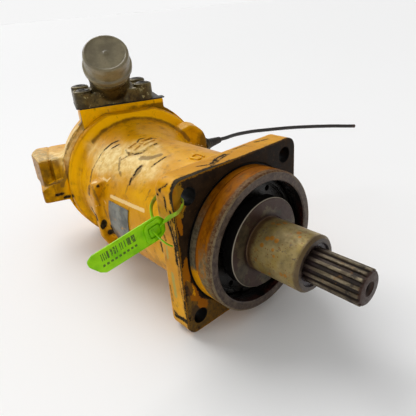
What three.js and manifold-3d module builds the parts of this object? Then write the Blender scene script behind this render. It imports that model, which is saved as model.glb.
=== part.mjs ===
// Bent-axis axial-piston hydraulic motor with a tall hollow pilot ring, an eccentric rear head
// and a splined output shaft.
//
// Working frame: origin at the centre of the flange's mounting face on the shaft axis, +X out along
// the shaft, +Z up. The finished group is moved once, at the end, so that the part stands on Z = 0.
// The rotating group behind the drive flange is tilted by BEND about Z through the pivot point.
import * as THREE from 'three';
import { mergeVertices } from 'three/addons/utils/BufferGeometryUtils.js';
import Module from 'manifold-3d';

const wasm = await Module();
wasm.setup();

// ---------------------------------------------------------------- driving dimensions (mm)
const SHIFT = [103.85, 15.81, 80.0];  // moves the working origin so the part stands centred on Z = 0
const FLANGE_HALF = 80;               // half width of the square mounting flange
const FLANGE_T = 25;                  // flange thickness
const BOLT_HALF = 63.64;              // half spacing of the flange holes (180 mm pitch circle)
const BOLT_R = 8;                     // flange hole radius
const PILOT_R = 70;                   // pilot ring outside radius
const PILOT_H = 28.2;                 // pilot ring height above the mounting face
const RECESS_R = 60.5;                // bore of the pilot ring
const BODY_R = 71;                    // bell radius behind the flange
const CAV_R = 60;                     // case cavity radius
const BEARING_BORE_R = 50;
const BEND = 22 * Math.PI / 180;      // angle between shaft axis and cylinder block axis
const PIVOT_X = -158;                 // crossing point of the two axes
const RING_W = 64.1;                  // front face of the joint ring, measured back along the tilted axis
const RING_R = 94.8;                  // joint ring radius
const JOINT_W = 78;                   // split between housing and rear head
const HEAD_END_W = 146;               // rear face of the head
const BASE_Z = -80;                   // level of the flats the motor stands on
const DISC_R = 45, DISC_X0 = 17, DISC_X1 = 29.3;
const RING_FLAT_Z = 89.5;
const SLEEVE_R = 26.5, SLEEVE_X1 = 84.8;
const SPLINE_R = 16, SPLINE_ROOT = 13.7, SPLINE_X1 = 134, SPLINE_N = 14;
const N_PISTONS = 7;
const BALL_CIRCLE = 35.28, BALL_R = 10, BORE_R = 11;
const BORE_CIRCLE = BALL_CIRCLE * (1 + Math.cos(BEND)) / 2;
const BLOCK_R = 50, BLOCK_W0 = 34, BLOCK_W1 = 90;
const LENS_SPHERE = 160;
const PAD_Z = 97.5;                   // top port pad
const PORT_S = 14, PORT_W = 111;    // port A centre: sideways and back along the tilted axis
const PORT_BX = 21.45, PORT_BY = 38.9; // half spacings of the port's four bolts
const ELBOW_LEAN = 45, ELBOW_TURN = -6; // the elbow leans forward, turned a little to the -Y side (degrees)
const GAP = 0.3;

const sinB = Math.sin(BEND), cosB = Math.cos(BEND);

// ---------------------------------------------------------------- geometry helpers
function clean(g) {
  const h = g.index ? g.toNonIndexed() : g.clone();
  for (const k of Object.keys(h.attributes)) if (k !== 'position') h.deleteAttribute(k);
  const m = mergeVertices(h, 1e-4);
  const idx = m.index.array, keep = [];
  for (let i = 0; i < idx.length; i += 3) {
    const a = idx[i], b = idx[i + 1], c = idx[i + 2];
    if (a !== b && b !== c && a !== c) keep.push(a, b, c);
  }
  const p = m.attributes.position;
  let vol = 0;
  const A = new THREE.Vector3(), B = new THREE.Vector3(), C = new THREE.Vector3();
  for (let i = 0; i < keep.length; i += 3) {
    A.fromBufferAttribute(p, keep[i]); B.fromBufferAttribute(p, keep[i + 1]); C.fromBufferAttribute(p, keep[i + 2]);
    vol += A.dot(B.cross(C));
  }
  if (vol < 0) for (let i = 0; i < keep.length; i += 3) { const t = keep[i + 1]; keep[i + 1] = keep[i + 2]; keep[i + 2] = t; }
  m.setIndex(keep);
  return m;
}
function solid(g) {
  const m = clean(g);
  return new wasm.Manifold(new wasm.Mesh({
    numProp: 3,
    vertProperties: new Float32Array(m.attributes.position.array),
    triVerts: new Uint32Array(m.index.array),
  }));
}
function geo(m) {
  const q = m.getMesh();
  const g = new THREE.BufferGeometry();
  g.setAttribute('position', new THREE.BufferAttribute(new Float32Array(q.vertProperties), 3));
  g.setIndex(Array.from(q.triVerts));
  return clean(g);
}
const join = (...a) => a.reduce((p, q) => p.add(q));
const cut = (a, ...b) => b.reduce((p, q) => p.subtract(q), a);

// A turned shape about +X. Profile: [x, radius] pairs, closed on itself or starting and ending on the axis.
function turnX(profile, seg = 24) {
  const pts = profile.map(([x, r]) => new THREE.Vector2(r, x));
  const g = new THREE.LatheGeometry(pts, seg);
  g.rotateZ(-Math.PI / 2);
  return g;
}
const ringX = (x0, x1, r0, r1, seg = 24) => turnX([[x0, r0], [x1, r0], [x1, r1], [x0, r1], [x0, r0]], seg);
const rodX = (x0, x1, r, seg = 16) => turnX([[x0, 0], [x0, r], [x1, r], [x1, 0]], seg);
// A turned shape about +Z. Profile: [z, radius] pairs.
function turnZ(profile, seg = 24) {
  const pts = profile.map(([z, r]) => new THREE.Vector2(r, z));
  const g = new THREE.LatheGeometry(pts, seg);
  g.rotateX(Math.PI / 2);
  return g;
}
function box(x0, x1, y0, y1, z0, z1) {
  const g = new THREE.BoxGeometry(x1 - x0, y1 - y0, z1 - z0);
  g.translate((x0 + x1) / 2, (y0 + y1) / 2, (z0 + z1) / 2);
  return g;
}
// Outline in (y, z), pushed along X from x0 to x1.
function plateX(points, x0, x1, holes = []) {
  const s = new THREE.Shape(points.map(([y, z]) => new THREE.Vector2(y, z)));
  for (const h of holes) s.holes.push(new THREE.Path(h.map(([y, z]) => new THREE.Vector2(y, z))));
  const g = new THREE.ExtrudeGeometry(s, { depth: x1 - x0, bevelEnabled: false, curveSegments: 1 });
  const m = new THREE.Matrix4().makeBasis(new THREE.Vector3(0, 1, 0), new THREE.Vector3(0, 0, 1), new THREE.Vector3(1, 0, 0));
  g.applyMatrix4(m);
  g.translate(x0, 0, 0);
  return g;
}
// Outline in (x, y), pushed along Z from z0 to z1.
function plateZ(points, z0, z1, holes = []) {
  const s = new THREE.Shape(points.map(([x, y]) => new THREE.Vector2(x, y)));
  for (const h of holes) s.holes.push(new THREE.Path(h.map(([x, y]) => new THREE.Vector2(x, y))));
  const g = new THREE.ExtrudeGeometry(s, { depth: z1 - z0, bevelEnabled: false, curveSegments: 1 });
  g.translate(0, 0, z0);
  return g;
}
function circlePts(cx, cy, r, n = 16, a0 = 0) {
  const out = [];
  for (let i = 0; i < n; i++) { const a = a0 + i * 2 * Math.PI / n; out.push([cx + r * Math.cos(a), cy + r * Math.sin(a)]); }
  return out;
}
function roundedRect(x0, x1, y0, y1, r, n = 3) {
  const out = [];
  const cs = [[x1 - r, y1 - r, 0], [x0 + r, y1 - r, 90], [x0 + r, y0 + r, 180], [x1 - r, y0 + r, 270]];
  for (const [cx, cy, a] of cs) for (let i = 0; i <= n; i++) {
    const t = (a + 90 * i / n) * Math.PI / 180;
    out.push([cx + r * Math.cos(t), cy + r * Math.sin(t)]);
  }
  return out;
}
// Round bar swept along a smooth curve through the given points.
function sweep(points, r, sides, steps) {
  const curve = new THREE.CatmullRomCurve3(points.map(p => new THREE.Vector3(...p)), false, 'centripetal');
  const s = new THREE.Shape(circlePts(0, 0, r, sides).map(([x, y]) => new THREE.Vector2(x, y)));
  return new THREE.ExtrudeGeometry(s, { steps, bevelEnabled: false, extrudePath: curve });
}
// Places a shape drawn about the tilted axis (local +X forward along it) into the working frame.
const TILT = new THREE.Matrix4().makeTranslation(PIVOT_X, 0, 0).multiply(new THREE.Matrix4().makeRotationZ(-BEND));
const tilt = g => { const h = g.clone(); h.applyMatrix4(TILT); return h; };
const at = (g, x, y, z) => { const h = g.clone(); h.translate(x, y, z); return h; };

// ---------------------------------------------------------------- scene graph
const root = new THREE.Group();
root.name = 'hydraulic_motor';
root.position.set(...SHIFT);
const tilted = new THREE.Group();      // pieces drawn about the tilted axis
tilted.position.set(PIVOT_X, 0, 0);
tilted.rotation.z = -BEND;
root.add(tilted);

const MAT = {
  paint: [0xc8900a, 0.55, 0.15], steel: [0x8a8478, 0.4, 0.85], darksteel: [0x4a4238, 0.5, 0.8],
  rubber: [0x15130f, 0.8, 0.0], bronze: [0x8a6a3a, 0.45, 0.7], cap: [0xb8b49a, 0.5, 0.0],
  adapter: [0x4a4226, 0.6, 0.6], tag: [0x6cc800, 0.45, 0.0], plate: [0x7c8082, 0.45, 0.8],
  black: [0x101010, 0.6, 0.0], fastener: [0x38342c, 0.5, 0.7],
};
function add(name, g, mat, parent = root) {
  const [c, r, m] = MAT[mat];
  const mesh = new THREE.Mesh(clean(g), new THREE.MeshStandardMaterial({ color: c, roughness: r, metalness: m }));
  mesh.name = name;
  parent.add(mesh);
  return mesh;
}

// ---------------------------------------------------------------- main housing
const EAR = [[46, 22], [83, 22], [87.5, 28], [87.5, 48], [84, 58], [76, 65.5], [66, 69], [52, 64]];
const SENSOR = [-160, 36];             // x and z of the speed sensor, which lies along +Y
{
  const flange = solid(plateX(roundedRect(-FLANGE_HALF, FLANGE_HALF, -FLANGE_HALF, FLANGE_HALF, 12), -FLANGE_T, 0));
  const bell = solid(turnX([
    [PILOT_H, 0], [PILOT_H, PILOT_R - 1.5], [PILOT_H - 1.5, PILOT_R], [-FLANGE_T + 2, PILOT_R], [-FLANGE_T + 1, PILOT_R + 6],
    [-FLANGE_T - 14, BODY_R], [-150, BODY_R], [-176, BODY_R - 1], [-176, 0]], 32));
  const pilotTrim = solid(ringX(0.001, 60, PILOT_R, 90, 32));
  const rear = solid(tilt(turnX([
    [22, 0], [22, 66], [4, 71.5], [-20, 76], [-40, 80], [-54, 82.5], [-60, 86], [-RING_W, RING_R - 3], [-RING_W - 2.5, RING_R],
    [-JOINT_W, RING_R], [-JOINT_W, 0]], 32)));
  const ear = solid(tilt(plateX(EAR, -54, -26)));
  const boss = solid(plateZ(circlePts(-145, -11, 22.5, 20), 50, 90)).intersect(solid(rodX(-176, -100, BODY_R + 2.5, 32)));
  const rib = solid(plateX([[-60, 34], [-72.5, 30], [-76, 22], [-77.5, 4], [-76, -30], [-66, -50], [-56, -44]], -163, -154));
  const knob = solid(plateX([[-60, 38], [-69, 37], [-77, 30], [-78, 20], [-60, 12]], -172, -153));
  // flat milled across the top of the joint ring, below the port pad
  const ringFlat = solid(tilt(box(-JOINT_W - 2, -50, -45, 45, RING_FLAT_Z, RING_R + 6)));
  let h = join(flange, bell, rear.subtract(ringFlat), ear, boss, rib, knob).subtract(pilotTrim);
  // bores and cavity
  h = cut(h,
    solid(rodX(-6, 60, RECESS_R, 28)),
    solid(turnX([[-95, 0], [-95, BEARING_BORE_R + 0.5], [-5, BEARING_BORE_R + 0.5], [-5, 0]], 24)),
    solid(turnX([[-168, 0], [-168, CAV_R - 6], [-160, CAV_R], [-100, CAV_R], [-92, CAV_R - 9], [-92, 0]], 24)),
    solid(tilt(turnX([[-100, 0], [-100, CAV_R], [12, CAV_R], [18, CAV_R - 8], [18, 0]], 24))),
    solid(at(box(-400, 0, -200, 200, -100, 0), 0, 0, BASE_Z)));
  for (const sy of [-1, 1]) for (const sz of [-1, 1])
    h = h.subtract(solid(at(rodX(-40, 10, BOLT_R, 12), 0, sy * BOLT_HALF, sz * BOLT_HALF)));
  // sensor bore, drilled along +Y
  const sb = turnX([[-60, 0], [-60, 7.3], [120, 7.3], [120, 0]], 16);
  sb.rotateZ(Math.PI / 2);
  const ss = turnX([[91.5, 0], [91.5, 12.8], [125, 12.8], [125, 0]], 16);
  ss.rotateZ(Math.PI / 2);
  const half = solid(box(-300, 0, 30, 200, -60, 120));
  h = h.subtract(solid(at(sb, SENSOR[0], 0, SENSOR[1])).intersect(half)).subtract(solid(at(ss, SENSOR[0], 0, SENSOR[1])));
  // tapped holes for the head bolts
  for (const a of HEAD_BOLTS()) h = h.subtract(solid(tilt(at(rodX(-JOINT_W - 1, -RING_W - 2, 5.6, 8), 0, 84 * Math.cos(a), 84 * Math.sin(a)))));
  // shallow scallop where the body meets the flange, below the flange edge
  add('main_housing', geo(h), 'paint');
}
function HEAD_BOLTS() { return [30, -12, -50, -130, 206, 141].map(d => d * Math.PI / 180); }

// ---------------------------------------------------------------- rear head (drawn about the tilted axis, forward = +X, s = -Y)
{
  const W = w => -w;
  const body = solid(turnX([
    [W(HEAD_END_W), 0], [W(HEAD_END_W), 60], [W(HEAD_END_W - 6), 66], [W(126), 72], [W(116), 78], [W(106), 82], [W(JOINT_W + GAP), 82],
    [W(JOINT_W + GAP), 0]], 28));
  const rim = solid(at(turnX([[W(112), 0], [W(112), 92], [W(107), 96], [W(JOINT_W + 3), 97], [W(JOINT_W + GAP), 96], [W(JOINT_W + GAP), 0]], 32), 0, -4, 4));
  const pad = solid(plateX([[-61.5, 20], [-61.5, PAD_Z - 2], [-60, PAD_Z], [46, PAD_Z], [47.5, PAD_Z - 2], [47.5, 20]], W(HEAD_END_W), W(JOINT_W + 1.5)));
  const block = solid(plateZ([[W(79.2), -70], [W(79.2), -124.5], [W(80.5), -126], [W(125), -135.5], [W(146), -129], [W(146), -70]], 2, 41));
  const shoulder = solid(at(box(W(150), W(75), -8, 8, -8, 8).rotateX(Math.PI / 4), 0, -139, 46));
  const groove = solid(box(W(79.2) - 3.5, W(70), -113.5, -109.5, 1, 60));
  const grooveTop = solid(box(W(150), W(70), -113.5, -109.5, 38.5, 60));
  const lug = solid(plateZ([[W(70), -95.4], [W(70), -127], [W(73), -130], [W(118), -132], [W(124), -70], [W(79), -70], [W(79), -95.4]], -15.5, 3));
  const lugUp = solid(plateX([[-95.4, 2], [-129.5, 2], [-127, 4.8], [-119.9, 7.6], [-109.6, 10.3], [-102.3, 12.8], [-95.4, 15.3]], W(90), W(70.6)));
  let h = join(body, rim, pad, join(block).subtract(groove).subtract(grooveTop), lug, lugUp).subtract(shoulder);
  h = h.subtract(solid(box(-300, 0, -60, 51, PAD_Z, PAD_Z + 40)));
  h = cut(h,
    // recess for the rear of the cylinder block and the valve plate
    solid(turnX([[W(104.3), 0], [W(104.3), 46.6], [W(98), 46.6], [W(96), 54], [W(60), 54], [W(60), 0]], 28)),
    // port A passage
    solid(at(turnZ([[30, 0], [30, 21], [120, 21], [120, 0]], 20), W(PORT_W), -PORT_S, 0)),
    solid(kidney(24, 156, 29, 39, W(118), W(100))),
    // port B passage, opening at the rear face
    solid(kidney(-156, -24, 29, 39, W(118), W(100))),
    solid(at(rodX(W(HEAD_END_W) - 5, W(112), 15, 24), 0, 0, -34)));
  // base flat, level with the flange's lower edge
  h = h.subtract(solid(box(-200, 0, -200, 200, BASE_Z - 60, BASE_Z)));
  for (const a of HEAD_BOLTS()) {
    const y = 84 * Math.cos(a), z = 84 * Math.sin(a);
    h = h.subtract(solid(at(rodX(W(180), W(70), 6.3, 8), 0, y, z)));
    h = h.subtract(solid(at(rodX(W(180), W(96), 10.8, 10), 0, y, z)));
  }
  for (const [u, v] of [[-1, -1], [-1, 1], [1, -1], [1, 1]])
    h = h.subtract(solid(at(turnZ([[PAD_Z - 24, 0], [PAD_Z - 24, 6.6], [PAD_Z + 5, 6.6], [PAD_Z + 5, 0]], 8), W(PORT_W) + u * PORT_BX, -PORT_S + v * PORT_BY, 0)));
  add('rear_head', geo(h), 'paint', tilted);
}
function kidney(a0, a1, r0, r1, x0, x1) {
  const pts = [], n = 9;
  for (let i = 0; i <= n; i++) { const a = (a0 + (a1 - a0) * i / n) * Math.PI / 180; pts.push([r1 * Math.cos(a), r1 * Math.sin(a)]); }
  for (let i = n; i >= 0; i--) { const a = (a0 + (a1 - a0) * i / n) * Math.PI / 180; pts.push([r0 * Math.cos(a), r0 * Math.sin(a)]); }
  return plateX(pts, x0, x1);
}
// Socket head cap screw along -X -> +X: head at the rear, shank forward.
function capScrewX(headR, headH, shankR, shankL, seg = 10) {
  let s = solid(turnX([[-headH, 0], [-headH, headR - 1], [-headH + 1, headR], [0, headR], [0, shankR], [shankL, shankR], [shankL, 0]], seg));
  s = s.subtract(solid(plateX(circlePts(0, 0, headR * 0.58, 6), -headH - 1, -headH * 0.45)));
  return geo(s);
}
HEAD_BOLTS().forEach((a, i) => {
  const g = capScrewX(9, 11, 5, 27);
  g.translate(-96 + GAP * 0 - 0.3, 84 * Math.cos(a), 84 * Math.sin(a));
  add(`head_bolt_${i + 1}`, g, 'fastener', tilted);
});
add('rear_port_plug', turnX([[-HEAD_END_W + 14, 0], [-HEAD_END_W + 14, 12], [-HEAD_END_W + 11, 14.6], [-HEAD_END_W - 0.4, 14.6], [-HEAD_END_W - 0.4, 20], [-HEAD_END_W - 3.5, 20], [-HEAD_END_W - 3.5, 9], [-HEAD_END_W + 8, 8], [-HEAD_END_W + 8, 0]].map(([x, r]) => [x, r]), 24).translate(0, 0, -34), 'cap', tilted);

// ---------------------------------------------------------------- port A adapter, bolts, gasket and cap
const AX = -PORT_W, AY = -PORT_S;
const FOUR = [[-1, -1], [-1, 1], [1, -1], [1, 1]];
{
  const gz0 = PAD_Z + GAP, gz1 = gz0 + 0.9;
  const gk = plateZ([[-31, -51], [31, -51], [31, 65], [17, 65], [14, 52], [-31, 52]], gz0, gz1, [circlePts(0, 0, 22, 16),
    ...FOUR.map(([u, v]) => circlePts(u * PORT_BX, v * PORT_BY, 6.8, 8))]);
  add('adapter_gasket', at(gk, AX, AY, 0), 'black', tilted);
  const z0 = gz1 + GAP, z1 = 115, zb = 119.5;
  const hw = 50, hd = 31;
  let a = solid(plateZ([[hd, -hw + 12], [hd, -18], [hd - 3, -11], [hd - 3, 11], [hd, 18], [hd, hw - 12], [hd - 4, hw - 4], [hd - 12, hw],
    [-hd + 12, hw], [-hd + 4, hw - 4], [-hd, hw - 12], [-hd, -hw + 12], [-hd + 4, -hw + 4], [-hd + 12, -hw], [hd - 12, -hw], [hd - 4, -hw + 4]], z0, z1));
  a = a.add(solid(turnZ([[z0, 0], [z0, 30], [z1 + 2, 30], [z1 + 6, 25], [z1 + 6, 0]], 24)));
  // 45 degree spigot, leaning forward over the housing
  const lean = g => { const q = g.clone(); q.rotateY(ELBOW_LEAN * Math.PI / 180); q.rotateZ(ELBOW_TURN * Math.PI / 180); q.translate(0, 0, 110); return q; };
  a = a.add(solid(lean(turnZ([[-4, 0], [-4, 26], [36, 26], [38, 27.2], [43, 27.2], [45, 24.4], [70, 24.4], [70, 0]], 24))));
  for (const [u, v] of FOUR)
    a = a.add(solid(at(turnZ([[z0, 0], [z0, 11.8], [zb - 1.5, 11.8], [zb, 10.8], [zb, 0]], 12), u * PORT_BX, v * PORT_BY, 0)));
  a = a.subtract(solid(turnZ([[z0 - 1, 0], [z0 - 1, 19.5], [112, 19.5], [118, 12], [118, 0]], 16)));
  a = a.subtract(solid(lean(turnZ([[-2, 0], [-2, 19.5], [90, 19.5], [90, 0]], 16))));
  a = a.subtract(solid(box(-60, 60, -70, 70, z0 - 40, z0)));
  for (const [u, v] of FOUR) {
    a = a.subtract(solid(at(turnZ([[z0 - 1, 0], [z0 - 1, 6.6], [zb - 9, 6.6], [zb - 9, 0]], 8), u * PORT_BX, v * PORT_BY, 0)));
    a = a.subtract(solid(at(turnZ([[zb - 9.5, 0], [zb - 9.5, 9.8], [zb + 10, 9.8], [zb + 10, 0]], 10), u * PORT_BX, v * PORT_BY, 0)));
  }
  add('port_adapter', at(geo(a), AX, AY, 0), 'adapter', tilted);
  let k = 0;
  for (const [u, v] of FOUR) {
    const g = capScrewX(9, 10, 5.6, 30);
    g.rotateY(Math.PI / 2);            // head up, shank down
    g.translate(AX + u * PORT_BX, AY + v * PORT_BY, zb - 9.5 + 0.3);
    add(`adapter_bolt_${++k}`, g, 'fastener', tilted);
  }
  add('port_cap', at(lean(turnZ([[49, 24.9], [49, 29.4], [51, 30.2], [56, 30.2], [57.5, 27.8], [74.5, 27.4], [76.5, 25.6], [76.5, 0], [73.5, 0], [73.5, 24.9], [49, 24.9]], 28)), AX, AY, 0), 'cap', tilted);
}

// ---------------------------------------------------------------- seal carrier stack in the recess
{
  let c = solid(ringX(-4.4, 8, 36.4, RECESS_R - GAP, 28));
  for (const a of [56, 236]) c = c.subtract(solid(at(rodX(1, 12, 3, 10), 0, 50 * Math.cos(a * Math.PI / 180), 50 * Math.sin(a * Math.PI / 180))));
  add('seal_carrier', geo(c), 'steel');
  add('shaft_seal', turnX([[-4, 36], [8.2, 36], [8.2, 30], [5, 25.3], [1, 25.6], [-4, 29], [-4, 36]], 24), 'rubber');
  // snap ring with a gap at the lower side
  const p = [], n = 26, g0 = 254, g1 = 254 + 346;
  for (let i = 0; i <= n; i++) { const a = (g0 + (g1 - g0) * i / n) * Math.PI / 180; p.push([59.4 * Math.cos(a), 59.4 * Math.sin(a)]); }
  for (let i = n; i >= 0; i--) { const a = (g0 + (g1 - g0) * i / n) * Math.PI / 180; p.push([55.5 * Math.cos(a), 55.5 * Math.sin(a)]); }
  add('carrier_snap_ring', plateX(p, 8.4, 11), 'black');
}

// ---------------------------------------------------------------- bearings (two tapered roller bearings)
function bearing(name, x0, x1, dir, cageParent) {
  // dir = +1: wide end of the rollers towards +X
  const L = x1 - x0, xs = t => dir > 0 ? x0 + t * L : x1 - t * L;
  add(`${name}_bearing_outer`, turnX([[xs(0.1), 49.7], [xs(1), 49.7], [xs(1), 46.6], [xs(0.1), 43.2], [xs(0.1), 49.7]], 28), 'steel');
  add(`${name}_bearing_inner`, turnX([[xs(0), 27.8], [xs(1), 27.8], [xs(1), 38.5], [xs(0.9), 38.5], [xs(0.9), 36.2], [xs(0.08), 33.1], [xs(0), 33.1], [xs(0), 27.8]], 24), 'steel');
  const rol = turnX([[xs(0.14), 0], [xs(0.14), 4.3], [xs(0.86), 5], [xs(0.86), 0]], 6);
  const m = new THREE.Matrix4();
  const tiltA = Math.atan2(3.1, 0.82 * L) * (dir > 0 ? 1 : -1);
  let c = solid(turnX([[xs(0.11), 38.2], [xs(0.88), 41.1], [xs(0.88), 42.7], [xs(0.11), 39.8], [xs(0.11), 38.2]], 16));
  const xm = xs(0.5);
  for (let i = 0; i < 10; i++) {
    const g = rol.clone();
    g.translate(-xm, 0, 0);
    g.rotateZ(tiltA);
    g.translate(xm, 39.9, 0);
    g.rotateX(i * Math.PI / 5);
    c = c.add(solid(g));
  }
  add(`${name}_bearing_rollers`, geo(c), 'darksteel', cageParent);
}
bearing('front', -40, -12, -1, root);
bearing('rear', -88, -60, 1, root);
add('bearing_spacer', ringX(-59.7, -40.3, 27.8, 34, 32), 'steel');

// ---------------------------------------------------------------- shaft, flanged sleeve
const phis = Array.from({ length: N_PISTONS }, (_, i) => Math.PI / 2 + i * 2 * Math.PI / N_PISTONS);
{
  const pts = [];
  for (let i = 0; i < SPLINE_N; i++) {
    const a = i * 2 * Math.PI / SPLINE_N, d = 2 * Math.PI / SPLINE_N;
    for (const [t, r] of [[-0.30, SPLINE_ROOT], [-0.19, SPLINE_R], [0.19, SPLINE_R], [0.30, SPLINE_ROOT]]) pts.push([r * Math.cos(a + t * d), r * Math.sin(a + t * d)]);
  }
  let s = solid(plateX(pts, SLEEVE_X1 - 2.1, SPLINE_X1));
  s = s.intersect(solid(turnX([[0, 0], [0, 20], [SPLINE_X1 - 2.2, 20], [SPLINE_X1 - 2.2, SPLINE_R], [SPLINE_X1, SPLINE_ROOT - 0.2], [SPLINE_X1, 0]], 56)));
  s = s.add(solid(turnX([[-161.5, 0], [-161.5, 46], [-159.5, 47.5], [-143, 47.5], [-138, 40], [-118, 33], [-88.3, 33], [-88.3, 27.5], [-11.7, 27.5],
    [-11.7, 25], [16.7, 25], [16.7, SPLINE_R - 0.3], [SLEEVE_X1 - 3.4, SPLINE_R - 0.3], [SLEEVE_X1 - 2.6, SPLINE_ROOT - 0.5], [SLEEVE_X1 - 1, SPLINE_ROOT - 0.5], [SLEEVE_X1 - 1, 0]], 24)));
  s = s.subtract(solid(turnX([[SPLINE_X1 - 14, 0], [SPLINE_X1 - 12, 4], [SPLINE_X1 - 3, 4], [SPLINE_X1 - 0.5, 6.5], [SPLINE_X1 + 2, 6.5], [SPLINE_X1 + 2, 0]], 14)));
  const sph = new THREE.SphereGeometry(BALL_R + 0.8, 12, 6);
  for (const a of phis) s = s.subtract(solid(at(sph, PIVOT_X, BALL_CIRCLE * Math.cos(a), BALL_CIRCLE * Math.sin(a))));
  s = s.subtract(solid(at(new THREE.SphereGeometry(9 + 0.8, 12, 6), PIVOT_X, 0, 0)));
  s = s.subtract(solid(rodX(-175, PIVOT_X, 60, 24)));
  add('drive_shaft', geo(s), 'darksteel');
  let p = solid(rodX(PIVOT_X - 8, PIVOT_X - 0.3, 47.5, 28));
  // each opening holds its ball and clears the stem, which leans by BEND as the plate turns
  const hole = turnX([[PIVOT_X - 9, 0], [PIVOT_X - 9, 10.5], [PIVOT_X - 5.8, 9.2], [PIVOT_X - 4, 10.1], [PIVOT_X + 1, 10.9], [PIVOT_X + 1, 0]], 12);
  for (const a of phis) p = p.subtract(solid(at(hole, 0, BALL_CIRCLE * Math.cos(a), BALL_CIRCLE * Math.sin(a))));
  p = p.subtract(solid(turnX([[PIVOT_X - 9, 0], [PIVOT_X - 9, 10.5], [PIVOT_X - 5.8, 9.2], [PIVOT_X + 1, 9.9], [PIVOT_X + 1, 0]], 12)));
  add('retaining_plate', geo(p), 'darksteel');
  add('flanged_sleeve', turnX([[DISC_X0, SPLINE_R + 0.2], [DISC_X0, DISC_R], [DISC_X1 - 1, DISC_R], [DISC_X1, DISC_R - 1], [DISC_X1, SLEEVE_R],
    [SLEEVE_X1 - 2.5, SLEEVE_R], [SLEEVE_X1, SLEEVE_R - 2.5], [SLEEVE_X1, 20.3], [SLEEVE_X1 - 2.4, 19.3], [SLEEVE_X1 - 2.4, SPLINE_R + 0.2], [DISC_X0, SPLINE_R + 0.2]], 28), 'steel');
}

// ---------------------------------------------------------------- rotating group about the tilted axis
{
  const w = v => -v;
  const back = r => BLOCK_W1 + LENS_SPHERE - Math.sqrt(LENS_SPHERE ** 2 - r * r);
  const prof = [[w(BLOCK_W0), 0], [w(BLOCK_W0), BLOCK_R - 4], [w(BLOCK_W0 + 4), BLOCK_R], [w(88), BLOCK_R], [w(91), 46.2]];
  for (const r of [46, 34, 22, 10]) prof.push([w(back(r)), r]);
  prof.push([w(back(0)), 0]);
  prof[4] = [w(back(46)), BLOCK_R - 3.5];
  let b = solid(turnX(prof, 28));
  b = b.subtract(solid(turnX([[w(120), 0], [w(120), 5], [w(74), 5], [w(72), 9.5], [w(20), 9.5], [w(20), 0]], 20)));
  for (const a of phis) {
    const y = BORE_CIRCLE * Math.cos(a), z = BORE_CIRCLE * Math.sin(a);
    b = b.subtract(solid(at(rodX(w(79), w(20), BORE_R, 12), 0, y, z)));
    const d = a * 180 / Math.PI;
    b = b.subtract(solid(kidneyS(d - 9, d + 9, 30.5, 37.5, w(110), w(77))));
  }
  // shallow slots round the rim that a speed sensor counts
  add('cylinder_block', geo(b), 'steel', tilted);

  const vp = [[w(104), 0], [w(104), 46]];
  for (const r of [46, 34, 22, 10]) vp.push([w(back(r) + 0.35), r]);
  vp.push([w(back(0) + 0.35), 0]);
  let v = solid(turnX(vp, 28));
  v = v.subtract(solid(kidney(24, 156, 30, 38, w(120), w(80)))).subtract(solid(kidney(-156, -24, 30, 38, w(120), w(80))));
  add('valve_plate', geo(v), 'bronze', tilted);

  // centre pin: ball in the drive flange, stem guided in the block
  add('centre_pin', turnX(ballPin(9, 5.5, 9.0, 46, 60), 12), 'steel', tilted);
  // block spring between the pin's end and the block's shoulder
  const coil = [];
  const turns = 2.5, n = Math.round(turns * 10);
  for (let i = 0; i <= n; i++) { const t = i / n, a = t * turns * 2 * Math.PI; coil.push([w(61.9 + 7.6 * t), 7 * Math.cos(a), 7 * Math.sin(a)]); }
  add('block_spring', sweep(coil, 1.1, 6, n), 'darksteel', tilted);

  phis.forEach((a, i) => {
    const g = turnX(ballPin(BALL_R, 5.5, 8.9, 46, 62), 12);
    // ball centre on the shaft's ball circle; the stem lies parallel to the block's axis
    const y = BALL_CIRCLE * Math.cos(a), z = BALL_CIRCLE * Math.sin(a);
    const m = add(`piston_${i + 1}`, g, 'steel', root);
    m.position.set(PIVOT_X, y, z);
    m.rotation.z = -BEND;
  });
}
function kidneyS(a0, a1, r0, r1, x0, x1) {
  const pts = [], n = 2;
  for (let i = 0; i <= n; i++) { const a = (a0 + (a1 - a0) * i / n) * Math.PI / 180; pts.push([r1 * Math.cos(a), r1 * Math.sin(a)]); }
  for (let i = n; i >= 0; i--) { const a = (a0 + (a1 - a0) * i / n) * Math.PI / 180; pts.push([r0 * Math.cos(a), r0 * Math.sin(a)]); }
  return plateX(pts, x0, x1);
}
// Ball at the origin, neck, conical stem and a cylindrical land, running towards -X.
function ballPin(R, neck, land, coneEnd, length) {
  const p = [[R, 0]];
  const a1 = Math.asin(neck / R);
  for (let i = 1; i <= 5; i++) { const a = (Math.PI - a1) * i / 5; p.push([R * Math.cos(a), R * Math.sin(a)]); }
  p.push([-R - 3, neck], [-coneEnd, land], [-length, land], [-length, 0]);
  return p;
}

// ---------------------------------------------------------------- speed sensor, gland and cable (along +Y)
{
  const [sx, sz] = SENSOR;
  const g = turnX([[48, 0], [48, 6], [56, 7], [96, 7], [96, 0]], 14);   // barrel
  let s = solid(g);
  s = s.add(solid(plateX(circlePts(0, 0, 11, 6), 91.8, 97.5)));
  s = s.add(solid(turnX([[96, 0], [96, 8], [99.5, 8], [100.5, 7], [100.5, 0]], 14)));
  const q = geo(s);
  q.rotateZ(Math.PI / 2);
  add('speed_sensor', at(q, sx, 0, sz), 'darksteel');
  const b = turnX([[100.8, 0], [100.8, 6.5], [104.5, 6.5], [124.5, 3.8], [124.5, 0]], 14);
  b.rotateZ(Math.PI / 2);
  add('cable_gland', at(b, sx, 0, sz), 'black');
}

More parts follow.
